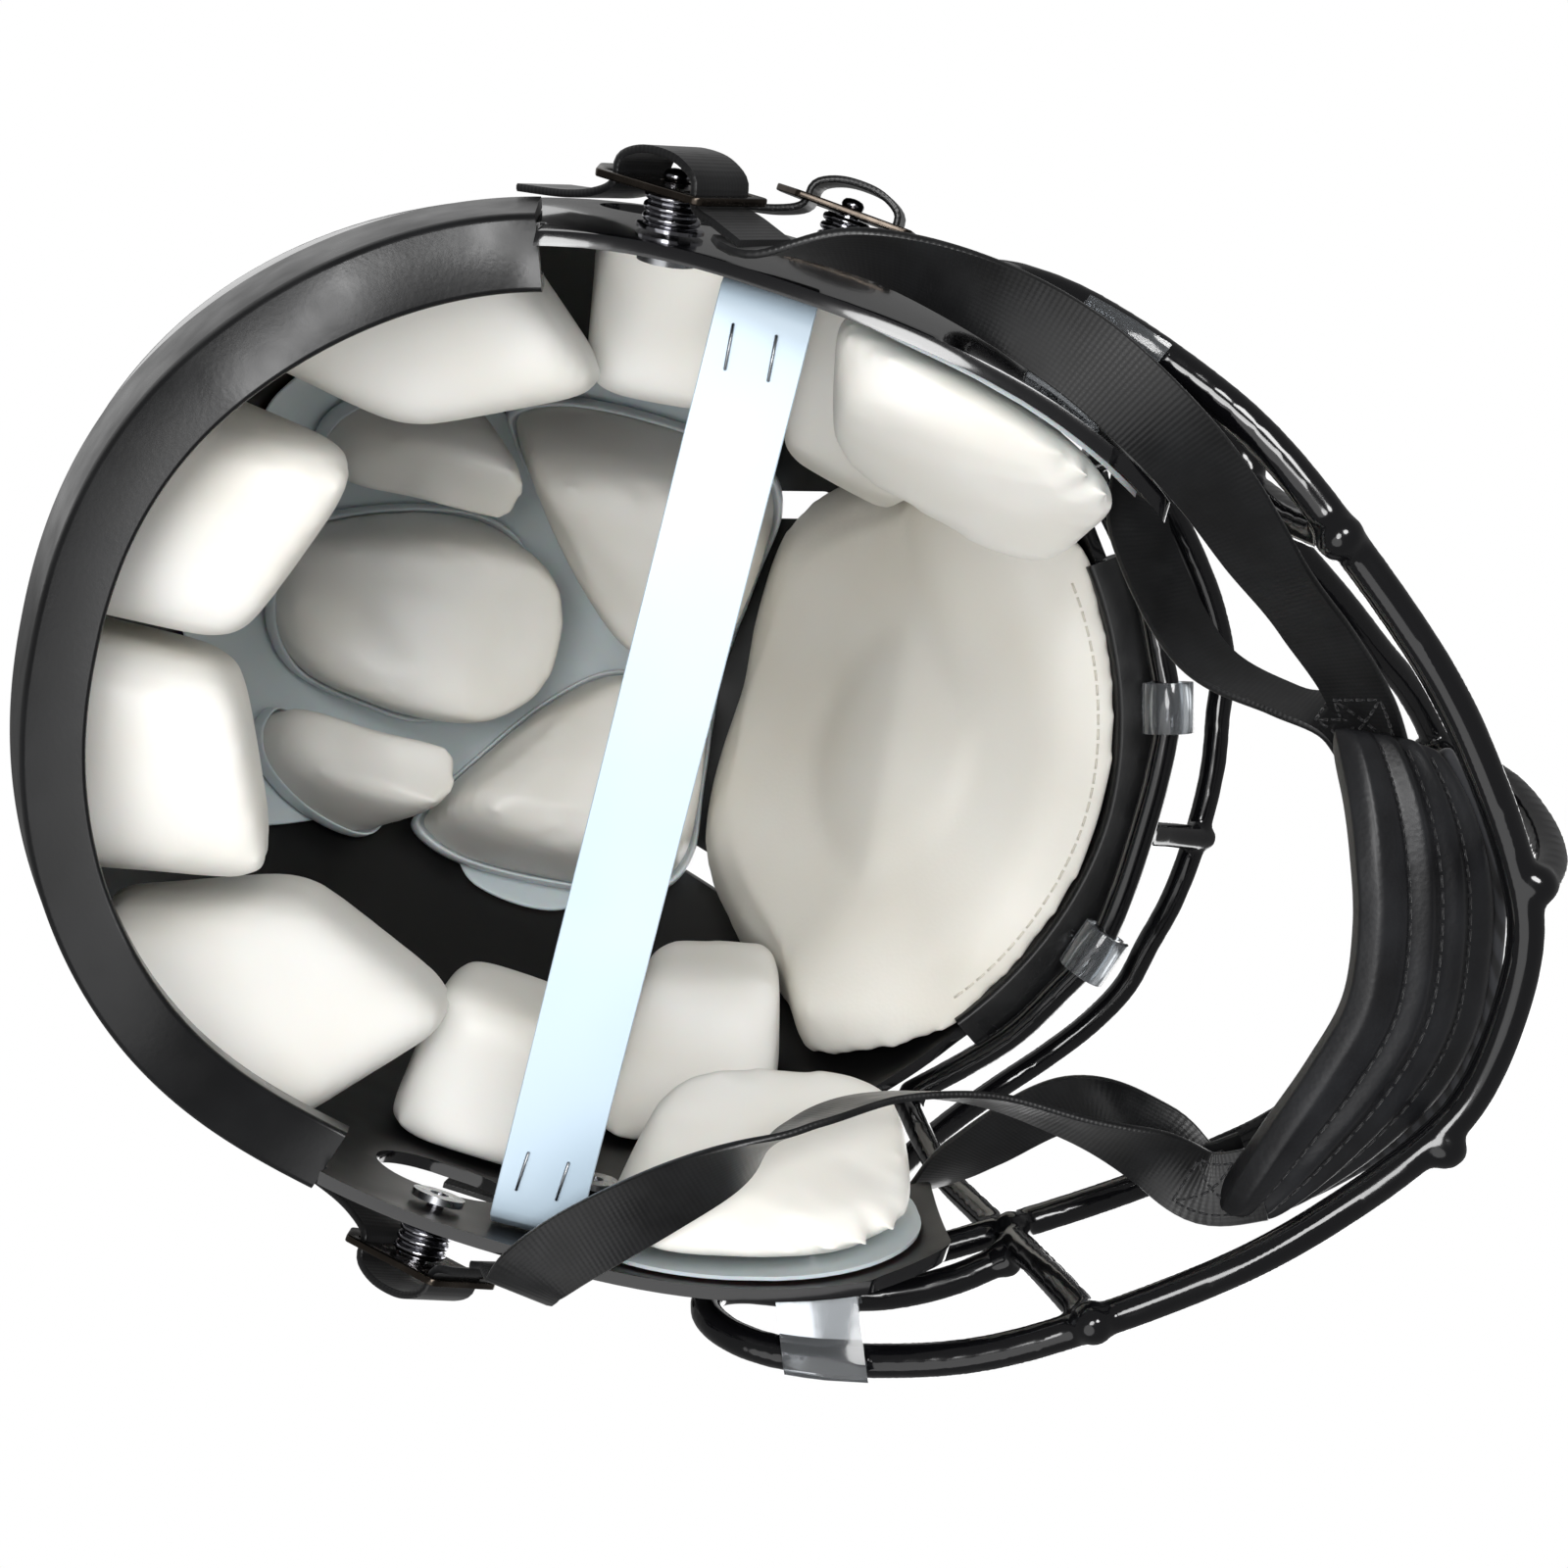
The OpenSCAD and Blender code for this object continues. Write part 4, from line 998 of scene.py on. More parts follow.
    def build_shell(self, outside: Material, inside: Material) -> Object:
        """Builds the shell, glossy outside and satin inside."""
        shell = self.wall()
        shell.data.materials.append(outside)
        shell.data.materials.append(inside)
        cut(shell, *self.openings())
        eased(shell, self.rounding, 3, 50, 35)
        return dressed(shell, outside, "shell", "helmet", "outer_shell")

    def build_rear_bumper(self, finish: Material) -> Object:
        """Builds the bumper that wraps the lower rear edge from ear to ear."""
        start = SHELL.azimuth(self.rim_end[0] + 0.9, self.rim_end[1])
        a = np.linspace(start, 180 - start, 220)
        level = np.full(a.shape, 5.0)
        for _ in range(3):  # the edge's level and its place behind the ear line settle together
            level = self.rim(SHELL.at(a, level + self.bumper_web)[..., 1])
        bumper = swept("rear_bumper_vinyl", a, level, filleted(self.rear_section, 0.8, 5))
        return dressed(bumper, finish, "bumper", "helmet", "rear_bumper")

    def build_front_bumper(self, finish: Material) -> Object:
        """Builds the bumper along the brow edge."""
        start = SHELL.azimuth(self.brow_end, self.brow)
        a = np.linspace(-180 - start, start, 120)
        level = np.full(a.shape, self.brow - self.brow_web)
        bumper = swept("front_bumper_vinyl", a, level, filleted(self.brow_section, 0.6, 5))
        return dressed(bumper, finish, "bumper", "helmet", "front_bumper")


@dataclass
class FaceMask:
    """The welded and dip coated wire mask, its clips, screws and nuts.

    The bars' routes run from the middle to the left, and the strut's and post's are the left ones.
    """

    wire: float = 3.7
    sides: int = 22
    step: float = 2.2
    grain: float = 1.05
    bead_over: float = 1.1
    clip_rounding: float = 0.6
    chin: tuple = (
        (0, -182, 3.7), (16, -180.5, 3.7), (28, -175.5, 3.7), (45, -163.5, 3.7), (64, -146.5, 4.5),
        (85, -120.5, 5.5), (99.5, -100, 8.5), (109, -80, 13), (115.5, -62, 19), (118, -50, 25),
        (118.8, -43, 34), (118.5, -43.5, 44), (118, -51, 50), (116.5, -66, 52), (112.5, -84, 53),
        (105.5, -99, 54.5), (97, -110.5, 56))
    mouth: tuple = (
        (0, -198, 100), (26, -196.5, 100), (44, -189.5, 97), (57, -175, 88), (66, -159, 79), (74, -146, 74),
        (83, -130.5, 70), (93, -113, 67), (102, -98, 66), (109.5, -84, 65), (114.5, -70, 63.5))
    lower_brow: tuple = (
        (0, -132, 136), (20, -131.4, 136), (36, -129, 136.5), (51, -122.2, 138), (66, -114.2, 140),
        (79.5, -103.4, 143), (93.5, -91.5, 148))
    upper_brow: tuple = (
        (0, -154.5, 163), (20, -153.5, 163.5), (36, -150.5, 164.5), (50, -148, 165.5), (64, -141, 166),
        (77, -131, 165), (89.5, -118.7, 161), (100, -106.5, 152), (108.5, -95, 137), (114, -86, 118),
        (116.5, -79, 98), (116.5, -73, 81), (114.8, -71, 65))
    strut: tuple = (
        (84.5, -119.5, 4), (87, -115.5, 26), (93, -112.5, 56), (97, -106.5, 82), (99.5, -99, 112),
        (96, -91.5, 146))
    post: tuple = (
        (28.5, -179, 3), (33, -187.5, 20), (38.5, -193, 44), (43.5, -194, 70), (46.5, -186, 97))
    stub: tuple = ((0, -132, 137), (0, -143.25, 150), (0, -157.5, 163.5))
    welds: tuple = (
        (97, -110.5, 56), (84.5, -119.5, 4), (93, -112, 64), (46, -187, 96.5), (28.5, -178, 3.7),
        (114.8, -71, 65), (96, -92, 146))

    def build_grille(self, finish: Material) -> Object:
        """Builds all the wires, melts them together under their coat, and beads the welds."""
        halves = (self.chin, self.mouth, self.lower_brow, self.upper_brow)
        rods = [self.rod(mirrored(half)) for half in halves]
        rods.append(self.rod(self.stub, steps=6))
        for side in Side:
            rods += [self.rod(path, side) for path in (self.strut, self.post)]
            rods += [self.bead(weld, side) for weld in self.welds]
        grille = melted(joined("face_mask_grille", rods), self.grain, 4)
        return dressed(grille, finish, "wire", "helmet", "chin_bar", "mouth_bar", "lower_brow_bar",
                       "upper_brow_bar", "brow_stub", "strut_left", "strut_right", "chin_post_left",
                       "chin_post_right")

    def rod(self, route: Sequence, side: Side = Side.LEFT, steps: int = 10) -> Object:
        """Builds one bent wire along its route."""
        return tube("rod", even(spline(route, steps), self.step), self.wire, self.sides, flip=side.flip)

    def bead(self, place: Sequence, side: Side) -> Object:
        """Builds one bead of weld under the coat."""
        bpy.ops.object.select_all(action="DESELECT")
        p = in_frame(point(*place) * (MIRROR if side.flip else 1))
        bpy.ops.mesh.primitive_ico_sphere_add(subdivisions=3, radius=(self.wire + self.bead_over) * MM,
                                              location=tuple(p))
        bead = bpy.context.object
        bpy.ops.object.transform_apply(location=True, rotation=True, scale=True)
        return bead

    def build_clips(self, finish: Material) -> None:
        """Builds the four clear clips: a thick strap round each wire with softened edges."""
        for side in Side:
            for kind in ("top_clip", "side_clip"):
                clip = copied(f"{kind}_{side.value}", f"{kind}_{side.value}_moulding")
                dressed(eased(clip, self.clip_rounding, 2, 42, 40), finish, "clip", "helmet",
                        f"{kind}_{side.value}")

    def dress_fasteners(self, finish: Material) -> None:
        """Gives the screws and nuts, which keep their solids, a plated finish."""
        for name in ("mask_screws", "mask_nuts", "post_nuts"):
            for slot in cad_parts[name].material_slots:
                slot.material = finish


def copied(node: str, name: str) -> Object:
    """Returns a merged copy of a solid's mesh, to be finished as a piece of its own.

    Args:
        node: the solid.
        name: the new piece's name.

    Returns:
        The copy, with flat regions joined into single faces.
    """
    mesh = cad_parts[node].data.copy()
    mesh.name = name
    mesh.materials.clear()
    piece = bpy.data.objects.new(name, mesh)
    bpy.context.collection.objects.link(piece)
    b = bmesh.new()
    b.from_mesh(mesh)
    bmesh.ops.remove_doubles(b, verts=b.verts, dist=0.00002)
    bmesh.ops.dissolve_limit(b, angle_limit=math.radians(2), verts=b.verts, edges=b.edges)
    bmesh.ops.recalc_face_normals(b, faces=b.faces)
    b.to_mesh(mesh)
    b.free()
    return piece


@dataclass
class ChinStrap:
    """The four straps, their buckles and snap posts, and the padded cup.

    A snap's place is its distance behind the ear line and its level, and its run is the way its strap goes.
    Foot and button are radii and heights of the post. A strap's stations, from the cup to the buckle, are a
    point and the direction its face looks in. The cup's edges run from right to left, its section is the
    share of the way from rear to front and of the thickness, and its channels are places in that section.
    """

    width: float = 16.0
    thick: float = 1.6
    post_height: float = 8.0
    post_radius: float = 6.0
    plate: float = 1.6
    slots: tuple = (-11.5, 9.5)
    places: dict = field(default_factory=lambda: {"lower": (23.0, 28.0), "upper": (-10.0, 88.0)})
    runs: dict = field(default_factory=lambda: {"lower": (0.0, 0.8, 0.6), "upper": (0.0, 1.0, 0.1)})
    foot: tuple = ((0, -5.4), (2, -5.4), (2, 0.5))
    button: tuple = ((2.5, 0), (2.75, 0.5), (2.6, 1.2), (2.1, 1.8), (1.1, 2.1), (0, 2.2))
    slot: tuple = ((-1.8, -8.6), (1.8, -8.6), (1.8, 8.6), (-1.8, 8.6))
    snap_hole: float = 3.1
    play: float = 0.3
    loop: float = 5.6
    cup_sag: float = 2.4
    cup_channels: tuple = ((0.21, 0.24), (0.45, 0.25), (0.71, 0.22))
    thread: float = 0.32
    cup_shift: float = 6.0
    cup_thick: float = 7.0
    pipe: float = 1.8
    straps: dict = field(default_factory=lambda: {
        "lower_left": [[[52, -151, 22], [0.1, -0.3, 1]], [[57, -141, 25], [0.2, 0, 1]],
                       [[54, -128, 27], [-0.4, 0, 1]], [[52, -110, 28], [-1.4, 0, 1]],
                       [[50.5, -88, 27], [-2, 0, 1]], [[54, -66, 21], [-2.6, 0, 1]],
                       [[61, -50, 12], [-2.2, 0, 1]],
                       [[70, -39, 6], [-1, 0, 1]], [[82, -25, 4.4], [-0.3, 0, 1]],
                       [[95, -11, 3.2], [0, 0, 1]],
                       [[104, -3.5, 3.4], [-0.2, 0, 1]], [[110, -1, 6.5], [-0.75, 0, 0.7]]],
        "lower_right": [[[-43, -151, 33], [-2.6, -0.3, 1]], [[-55, -141, 28], [-3, 0, 1]],
                        [[-66, -126, 21.5], [-3, 0.6, 1]], [[-76, -111, 17], [-2.4, 0.6, 1]],
                        [[-87, -95, 8.5], [-1.1, 0.3, 1]], [[-96, -79, 2.4], [-0.6, 0.2, 1]],
                        [[-105, -60, 2], [-0.4, 0.1, 1]], [[-111, -38, 4], [-0.7, 0, 0.8]],
                        [[-113, -16, 8.5], [-1, 0, 0.4]]],
        "upper_left": [[[52, -152, 34], [0, 0, 1]], [[58, -142, 35], [0, 0, 1]], [[53, -131, 40], [0, 0, 1]],
                       [[54, -113, 50], [-0.3, 0, 1]],
                       [[76, -98, 65], [-0.8, 0, 0.7]], [[94, -88.5, 76], [-1, 0.5, 0.4]],
                       [[110, -67, 84.5], [-1, 0.4, 0]], [[119, -48, 86], [-1, 0.3, 0]]],
        "upper_right": [[[-43, -151, 33], [0.3, 0, 1]], [[-50, -141, 34], [0.8, 0, 1]],
                        [[-50, -130, 41], [2, 0, 1]],
                        [[-55, -112, 52], [1.3, 0, 1]],
                        [[-76, -95, 66], [0.8, 0, 0.7]], [[-94, -88.5, 76.5], [1, 0.5, 0.4]],
                        [[-110, -67, 84.5], [1, 0.4, 0]], [[-119, -48, 86], [1, 0.3, 0]]]})
    cup_rear: tuple = (
        (-54, -139, 24), (-42, -144.5, 18), (-30, -149, 14.2), (-16, -153.5, 12.6), (0, -156, 12.4),
        (16, -153.5, 14), (32, -149.7, 16.5), (44, -147.5, 19.5), (54, -146, 23))
    cup_front: tuple = (
        (-54, -162, 31), (-42, -173, 28.5), (-28, -181, 27.5), (-14, -185, 27), (1, -187, 26.5),
        (16, -184.5, 26.5), (32, -176.5, 28), (44, -168, 30.5), (54, -158, 32))
    cup_section: tuple = (
        (-0.12, 0), (-0.05, 0.6), (0.06, 0.62), (0.15, 0.5), (0.21, 0.24), (0.33, 0.5), (0.45, 0.25),
        (0.59, 0.48), (0.71, 0.22), (0.86, 0.42), (0.96, 0.28), (1, 0))

    def seat(self, level: str) -> Seat:
        """Returns the frame of the lower or upper snap post on the left side."""
        place = self.places[level]
        return Seat.on(SHELL.side(*place), SHELL.side_out(*place), self.runs[level])

    def snaps(self) -> list:
        """Returns the seat, the side and the tag of each snap."""
        return [(self.seat(level), side, f"{level}_{side.value}") for level in self.places for side in Side]

    def build_posts(self, finish: Material) -> None:
        """Builds the turned posts, each with three round rings and a button head."""
        r, top = self.post_radius, self.post_height
        ring = (top - 1.6) / 3
        core, deck = r - 0.9, top + self.plate + 0.6
        profile = [*self.foot, (r + 1, 0.5), (r + 1, 1.2), (r + 0.6, 1.5), (core, 1.5)]
        for low in (1.5, 1.5 + ring, 1.5 + 2 * ring):
            profile += [(core + 0.9 * math.sin(a), low + ring * (0.5 - 0.42 * math.cos(a)))
                        for a in np.linspace(0, math.pi, 9)]
        profile += [(core, top), (self.button[0][0], top), *((q, deck + h) for q, h in self.button)]
        posts = [turned("post", profile, seat, 48, side.flip) for seat, side, _ in self.snaps()]
        dressed(joined("snap_posts_turned", posts), finish, "post", "helmet", "snap_posts")

    def build_buckles(self, finish: Material) -> None:
        """Builds the four stamped plates, each with a pointed end, two slots and a snap hole."""
        half = (self.width + 6) / 2
        outline = filleted([[-16, -half], [12, -half], [18, -0.35 * half], [18, 0.35 * half], [12, half],
                            [-16, half]], 2, 8)
        slot = filleted(self.slot, 0.8, 4)
        low = self.post_height + self.play
        under, over, r = low - 2, low + 4, self.snap_hole
        for seat, side, tag in self.snaps():
            buckle = prism(f"buckle_{tag}_plate", outline, low, low + self.plate, seat, side.flip)
            cuts = [prism("slot_cut", slot + [x, 0], under, over, seat, side.flip) for x in self.slots]
            hole = turned("hole_cut", [(0, under), (r, under), (r, over), (0, over)], seat, 40, side.flip)
            eased(cut(buckle, *cuts, hole), 0.35, 3, 50, 35)
            dressed(buckle, finish, "buckle", f"buckle_{tag}_body", f"buckle_{tag}")

    def build_strap_ends(self, finish: Material) -> None:
        """Builds each strap's end: up the front slot, over the post in a loop, and down the rear slot."""
        deck = self.post_height + self.play + self.plate
        a, b = self.slots
        stations = [[-25, 0, 3.4], [-18, 0, 5.6], [a - 0.8, 0, deck - 2.5], [a, 0, deck + 2],
                    [a + 2.6, 0, deck + self.loop * 0.75], [-4.5, 0, deck + self.loop],
                    [2, 0, deck + self.loop],
                    [b - 2.6, 0, deck + self.loop * 0.75], [b, 0, deck + 2], [b + 0.8, 0, deck - 2.5],
                    [b + 6, 0, 4.6], [b + 14, 0, 2.6], [b + 28, 0, 0.9]]
        path = even(spline(stations, 8), 1.2)
        t = tangents(path)
        faces = np.column_stack([-t[:, 2], np.zeros(len(t)), t[:, 0]])
        for seat, side, tag in self.snaps():
            turn = np.array([seat.along, seat.across, seat.out])
            end = band(f"strap_end_{tag}_webbing", seat.to(path), faces @ turn, self.width, self.thick,
                       side.flip)
            dressed(smooth_by_angle(end, 50), finish, "webbing", f"buckle_{tag}_body", f"strap_end_{tag}")

    def build_straps(self, finish: Material, thread: Material) -> None:
        """Builds the slack straps between the cup and the buckles, and their stitches."""
        for tag, route in self.straps.items():
            stations = np.array(route + self.tucked(tag), float)
            path, faces = spline(stations[:, 0], 14), unit(spline(stations[:, 1], 14))
            both = even(np.hstack([path, faces]), 1.5)
            path, faces = both[:, :3], unit(both[:, 3:])
            strap = band(f"strap_{tag}_webbing", path, faces, self.width, self.thick)
            dressed(smooth_by_angle(strap, 50), finish, "webbing", "", f"strap_{tag}")
            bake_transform(strap)
            dressed(joined(f"strap_{tag}_stitches", self.crossed(path, faces)), thread, "webbing", "cup_body")

    def crossed(self, path: np.ndarray, faces: np.ndarray, first: int = 3, last: int = 11) -> list:
        """Sews a box with a cross through it near a strap's front end.

        Args:
            path: the middle line of the strap.
            faces: the direction that its face looks in at each point.
            first: the point of the path where the box begins.
            last: the point where it ends.

        Returns:
            The stitches.
        """
        t = tangents(path)
        side = unit(np.cross(faces, t))
        edge = side * (self.width / 2 - 2.5)
        steps = np.arange(first, last + 1)
        share = np.linspace(-1, 1, len(steps))[:, None]
        rows = []
        for face in (-1, 1):
            on = path + unit(np.cross(t, side)) * face * (self.thick / 2 + 0.1)
            rows += [on[steps] + edge[steps] * across
                     for across in (share, -share, share * 0 + 1, share * 0 - 1)]
            rows += [on[end] + edge[end] * np.linspace(-1, 1, 5)[:, None] for end in (first, last)]
        return [stitch for row in rows for stitch in stitched(row, self.thread, 2.6, 1.9)]

    def tucked(self, tag: str) -> list:
        """Returns the last stations of a strap, which run in under its own end at the buckle."""
        level, side = tag.split("_")
        seat = self.seat(level)
        mirror = MIRROR if Side(side).flip else point(1, 1, 1)
        inward = 1 if tag == "lower_right" else -1  # this strap arrives with its other face outward
        return [[(seat.to(q) * mirror).tolist(), (seat.out * mirror * inward).tolist()]
                for q in ([-25.5, 0, 2.1], [-20.5, 0, 2.9])]

    def cup_edges(self, steps: int) -> tuple:
        """Returns the cup's rear and front edges, from right to left."""
        shift = point(self.cup_shift, 0, 0)
        return spline(np.array(self.cup_rear, float) + shift, steps), \
            spline(np.array(self.cup_front, float) + shift, steps)

    def build_cup(self, vinyl: Material, braid: Material, thread: Material) -> None:
        """Builds the padded cup with its sewn channels, the piping along its front edge and the stitches."""
        rear, front = self.cup_edges(12)
        upper, lower_share = spline(self.cup_section, 5), 0.9
        section = np.vstack([upper, upper[-2:0:-1] * [1, -lower_share]])
        d = front - rear
        up = unit(np.cross(d, tangents(rear)))
        n = len(rear)
        rows = []
        for i in range(n):
            edge = min(i, n - 1 - i) / 9
            slim = math.sqrt(max(0.03, 1 - (1 - min(edge, 1)) ** 2.4))
            lift = section[:, 1:] * self.cup_thick * slim - self.sagged(section[:, :1])
            rows.append(rear[i] + d[i] * section[:, :1] + up[i] * lift)
        cup = subdivided(lofted("chin_cup_padding", np.array(rows)))
        dressed(cup, vinyl, "cup", "cup_body", "chin_cup")
        pipe = tube("cup_piping_braid", even(front + unit(d) * (self.pipe + 0.3), 1.2), self.pipe, 16)
        dressed(pipe, braid, "piping", "cup_body", "cup_piping")
        stitches = []
        for share, high in self.cup_channels:
            for sign in (1, -lower_share):
                lift = high * sign * self.cup_thick - self.sagged(share) + 0.15 * np.sign(sign)
                line = (rear + d * share + up * lift)[4:-4]
                stitches += stitched(line, self.thread, 3.4, 2.5)
        dressed(joined("chin_cup_stitches", stitches), thread, "cup", "cup_body")

    def sagged(self, share: np.ndarray) -> np.ndarray:
        """Returns how far the cup hangs below the line between its edges at a share of the way across."""
        return self.cup_sag * np.sin(np.pi * np.clip(share, 0, 1))


def stitched(line: np.ndarray, radius: float, pitch: float, length: float) -> list:
    """Builds a row of stitches along a line.

    Args:
        line: the points that it follows.
        radius: the thread's radius.
        pitch: distance from one stitch to the next.
        length: length of a stitch.

    Returns:
        The stitches, as separate objects of a few faces each.
    """
    row = even(line, pitch)
    ways = unit(np.diff(row, axis=0)) * length
    return [tube("stitch", np.array([a, a + d / 2, a + d]), radius, 6, rounded=False)
            for a, d in zip(row, ways)]


@dataclass
class Liner:
    """The foam pads in their vinyl covers, the leather front pad, and the formed sheets behind them.

    Profiles are the share of a pad's outline and of its thickness, row by row, from its back to its face.
    """

    crown: float = 43.0
    front: float = 22.0
    lining: float = 4.4
    sheet: float = 1.0
    behind_nut: float = 8.6
    corners: int = 60
    profile: tuple = (
        (0.5, 0), (0.93, 0), (1, 0.03), (1.01, 0.12), (0.995, 0.34), (0.98, 0.64), (0.96, 0.85),
        (0.915, 0.945), (0.82, 0.99), (0.5, 1.01))
    dome_profile: tuple = (
        (0.45, 0), (0.84, 0), (0.9, 0.03), (0.93, 0.12), (0.96, 0.34), (1.01, 0.66), (1, 0.86), (0.96, 0.95),
        (0.88, 0.99), (0.55, 1.01))
    sheet_steps: tuple = (0.2, 0.35, 0.5, 0.65, 0.8, 0.92, 1)
    rim_profile: tuple = ((0.4, -0.02), (0.93, -0.02), (0.97, 0.2), (0.985, 1), (0.96, 1.02), (0.93, 0.9),
                          (0.91, 0.12), (0.4, 0.06))
    rim_height: float = 6.0
    voxel: float = 3.0
    swell: float = 1.5
    hem: float = 141.5
    hem_inside: float = 4.6
    tray: tuple = ((0, -6, 257), (30, -8, 251), (52, -2, 242), (66, 12, 230), (80, 24, 214), (78, 52, 210),
                   (62, 66, 214), (62, 88, 198), (66, 112, 172), (50, 124, 164), (30, 128, 168),
                   (0, 140, 156))

    @property
    def base(self) -> float:
        """Depth of the crown pads' backs behind the shell's face."""
        return self.lining + self.sheet + 1.5

    def block(self, n: float = 5.2) -> np.ndarray:
        """Outline of a pad as a rounded square."""
        a = np.radians((np.arange(self.corners) + 0.5) * 360 / self.corners)
        round_one = np.column_stack([np.cos(a), np.sin(a)])
        return np.sign(round_one) * abs(round_one) ** (2 / n)

    @staticmethod
    def on_face(face: list, q: np.ndarray) -> np.ndarray:
        """Points of a four cornered face, whose corners run low rear, low front, high front, high rear."""
        f, u, v = np.array(face, float), q[..., :1], q[..., 1:]
        return ((1 - u) * (1 - v) * f[0] + (1 + u) * (1 - v) * f[1] + (1 + u) * (1 + v) * f[2]
                + (1 - u) * (1 + v) * f[3]) / 4

    def back_pad(self, azimuth: float, z: float, half_u: float, half_v: float, face: list) -> np.ndarray:
        """Rows of a pad from a patch on the back of the shell to its inner face."""
        per_degree = 119  # mean radius of the back, which turns a width into an angle
        rows = []
        for share, deep in self.profile:
            q = self.block() * share
            start = SHELL.at(azimuth - np.degrees(q[:, 0] * half_u / per_degree), z + q[:, 1] * half_v,
                             self.lining)
            rows.append(start + (self.on_face(face, q) - start) * deep)
        return np.array(rows)

    def patch(self, q: np.ndarray, place: tuple, depth: float) -> np.ndarray:
        """Points q of a patch on the left side, given its middle and half sizes, at a depth."""
        y, z, half_u, half_v = place
        return np.array([SHELL.side(y - a * half_u, z + b * half_v, depth) for a, b in q])

    def side_pad(self, place: tuple, face: list, base: float, n: float = 5.2) -> np.ndarray:
        """Rows of a pad from a patch on the left side, at a base depth, to its inner face."""
        rows = []
        for share, deep in self.profile:
            q = self.block(n) * share
            start = self.patch(q, place, base)
            rows.append(start + (self.on_face(face, q) - start) * deep)
        return np.array(rows)

    def sheet_rows(self, first: float) -> list:
        """Share of the outline and of the thickness at each row of a sheet, out on one face and back."""
        steps = [first, *self.sheet_steps]
        return [(s, 0) for s in steps] + [(s, 1) for s in steps[::-1]]

    def dome_pad(self, corners: Sequence, rows: Sequence | None = None,
                 deep: float | None = None) -> np.ndarray:
        """Rows of a pad against the dome.

        Args:
            corners: places on the dome, each with the pad's thickness there where it differs.
            rows: share of the outline and of the thickness at each row.
            deep: an even thickness in place of the pad's own.

        Returns:
            The rows.
        """
        c, steps = np.array([[*p, self.crown][:4] for p in corners], float), 6
        ring = spline(np.vstack([c[-1:], c, c[:2]]), steps)[steps:steps + steps * len(c)]
        heart = c.mean(0)
        return np.array([[SHELL.under(q[:3], self.base + (deep or q[3]) * t)
                          for q in heart + (ring - heart) * share] for share, t in rows or self.dome_profile])

    def shaped(self, half: Sequence, heart: Sequence, depth: Sequence, rows: Sequence) -> np.ndarray:
        """Rows of a piece against the dome, widest at its edge.

        Args:
            half: the left half of its outline: point, depth behind the shell's face, and thickness.
            heart: its middle.
            depth: depth and thickness in the middle.
            rows: share of the outline and of the thickness at each row.

        Returns:
            The rows.
        """
        edge = spline(half, 6)
        edge = np.vstack([edge, (edge * [-1, 1, 1, 1, 1])[-2:0:-1]])
        heart, depth = point(*heart), point(*depth)
        out = []
        for share, t in rows:
            deep = depth + (edge[:, 3:] - depth) * share ** 3
            places = heart + (edge[:, :3] - heart) * share
            out.append([SHELL.under(p, d[0] + d[1] * t) for p, d in zip(places, deep)])
        return np.array(out)

    def blanks(self) -> dict:
        """Builds the blank of every pad, named for the solid that it stands for."""
        pairs = {
            "rear_pad": self.back_pad(
                76, 52, 27, 30, [[1.5, 93, 32], [48, 73, 32], [52, 88, 84], [1.5, 107, 84]]),
            "rear_side_pad": self.back_pad(
                39, 62, 33.6, 32, [[55, 76, 61], [77, 29, 60], [84, 36, 112], [60, 88, 112]]),
            "side_pad": self.side_pad(
                (23.5, 111, 24, 30), [[77, 43, 87], [80, 6, 87], [82, 6, 134], [79, 44, 134]], self.lining),
            "temple_pad": self.side_pad(
                (-29, 152, 25, 28), [[79, -6, 140], [70, -48, 146], [66, -45, 186], [76, -6, 188]],
                self.lining),
            "jaw_pad": self.side_pad(
                (-48, 40, 34, 31), [[88, -18, 14], [81, -82, 18], [57, -76, 68], [73, -18, 72]],
                self.behind_nut, 3.6),
            "crown_pad_rear": self.dome_pad(CROWN_SMALL),
            "crown_pad_top": self.dome_pad(CROWN_TOP)}
        blanks = {f"{name}_{side.value}": lofted(f"{name}_{side.value}_cover", rows, flip=side.flip)
                  for name, rows in pairs.items() for side in Side}
        blanks["crown_pad_rear"] = lofted("crown_pad_rear_cover", self.dome_pad(CROWN_REAR))
        low, inside, deep, full = self.hem, self.hem_inside, self.behind_nut, self.front
        half = [[0, -120, low, inside, 7], [30, -116, low, inside, 7], [54, -106, low, inside, 7.5],
                [70, -90, low + 2, inside, 9], [82, -69, 149, deep, 15], [87, -56, 160, deep, 20],
                [81, -47, 181, deep, full], [69, -28, 200, deep, full], [48, -12, 215, deep, full],
                [23, -9, 224, deep, full], [0, -10, 226, deep, full]]
        blanks["front_pad"] = lofted("front_pad_cover", self.shaped(
            half, [0, -80, 196], [deep, full * 1.5], self.profile))
        return blanks

    def build_pads(self, vinyl: Material, leather: Material) -> None:
        """Builds all the pads and puffs them up together under cloth simulation."""
        blanks = self.blanks()
        for blank in blanks.values():
            melted(blank, self.voxel, 7)
        puffed(list(blanks.values()), self.swell * MM)
        for node, cover in blanks.items():
            finish, slot = (leather, "leather") if node == "front_pad" else (vinyl, "vinyl")
            dressed(subdivided(cover), finish, slot, "helmet", node)

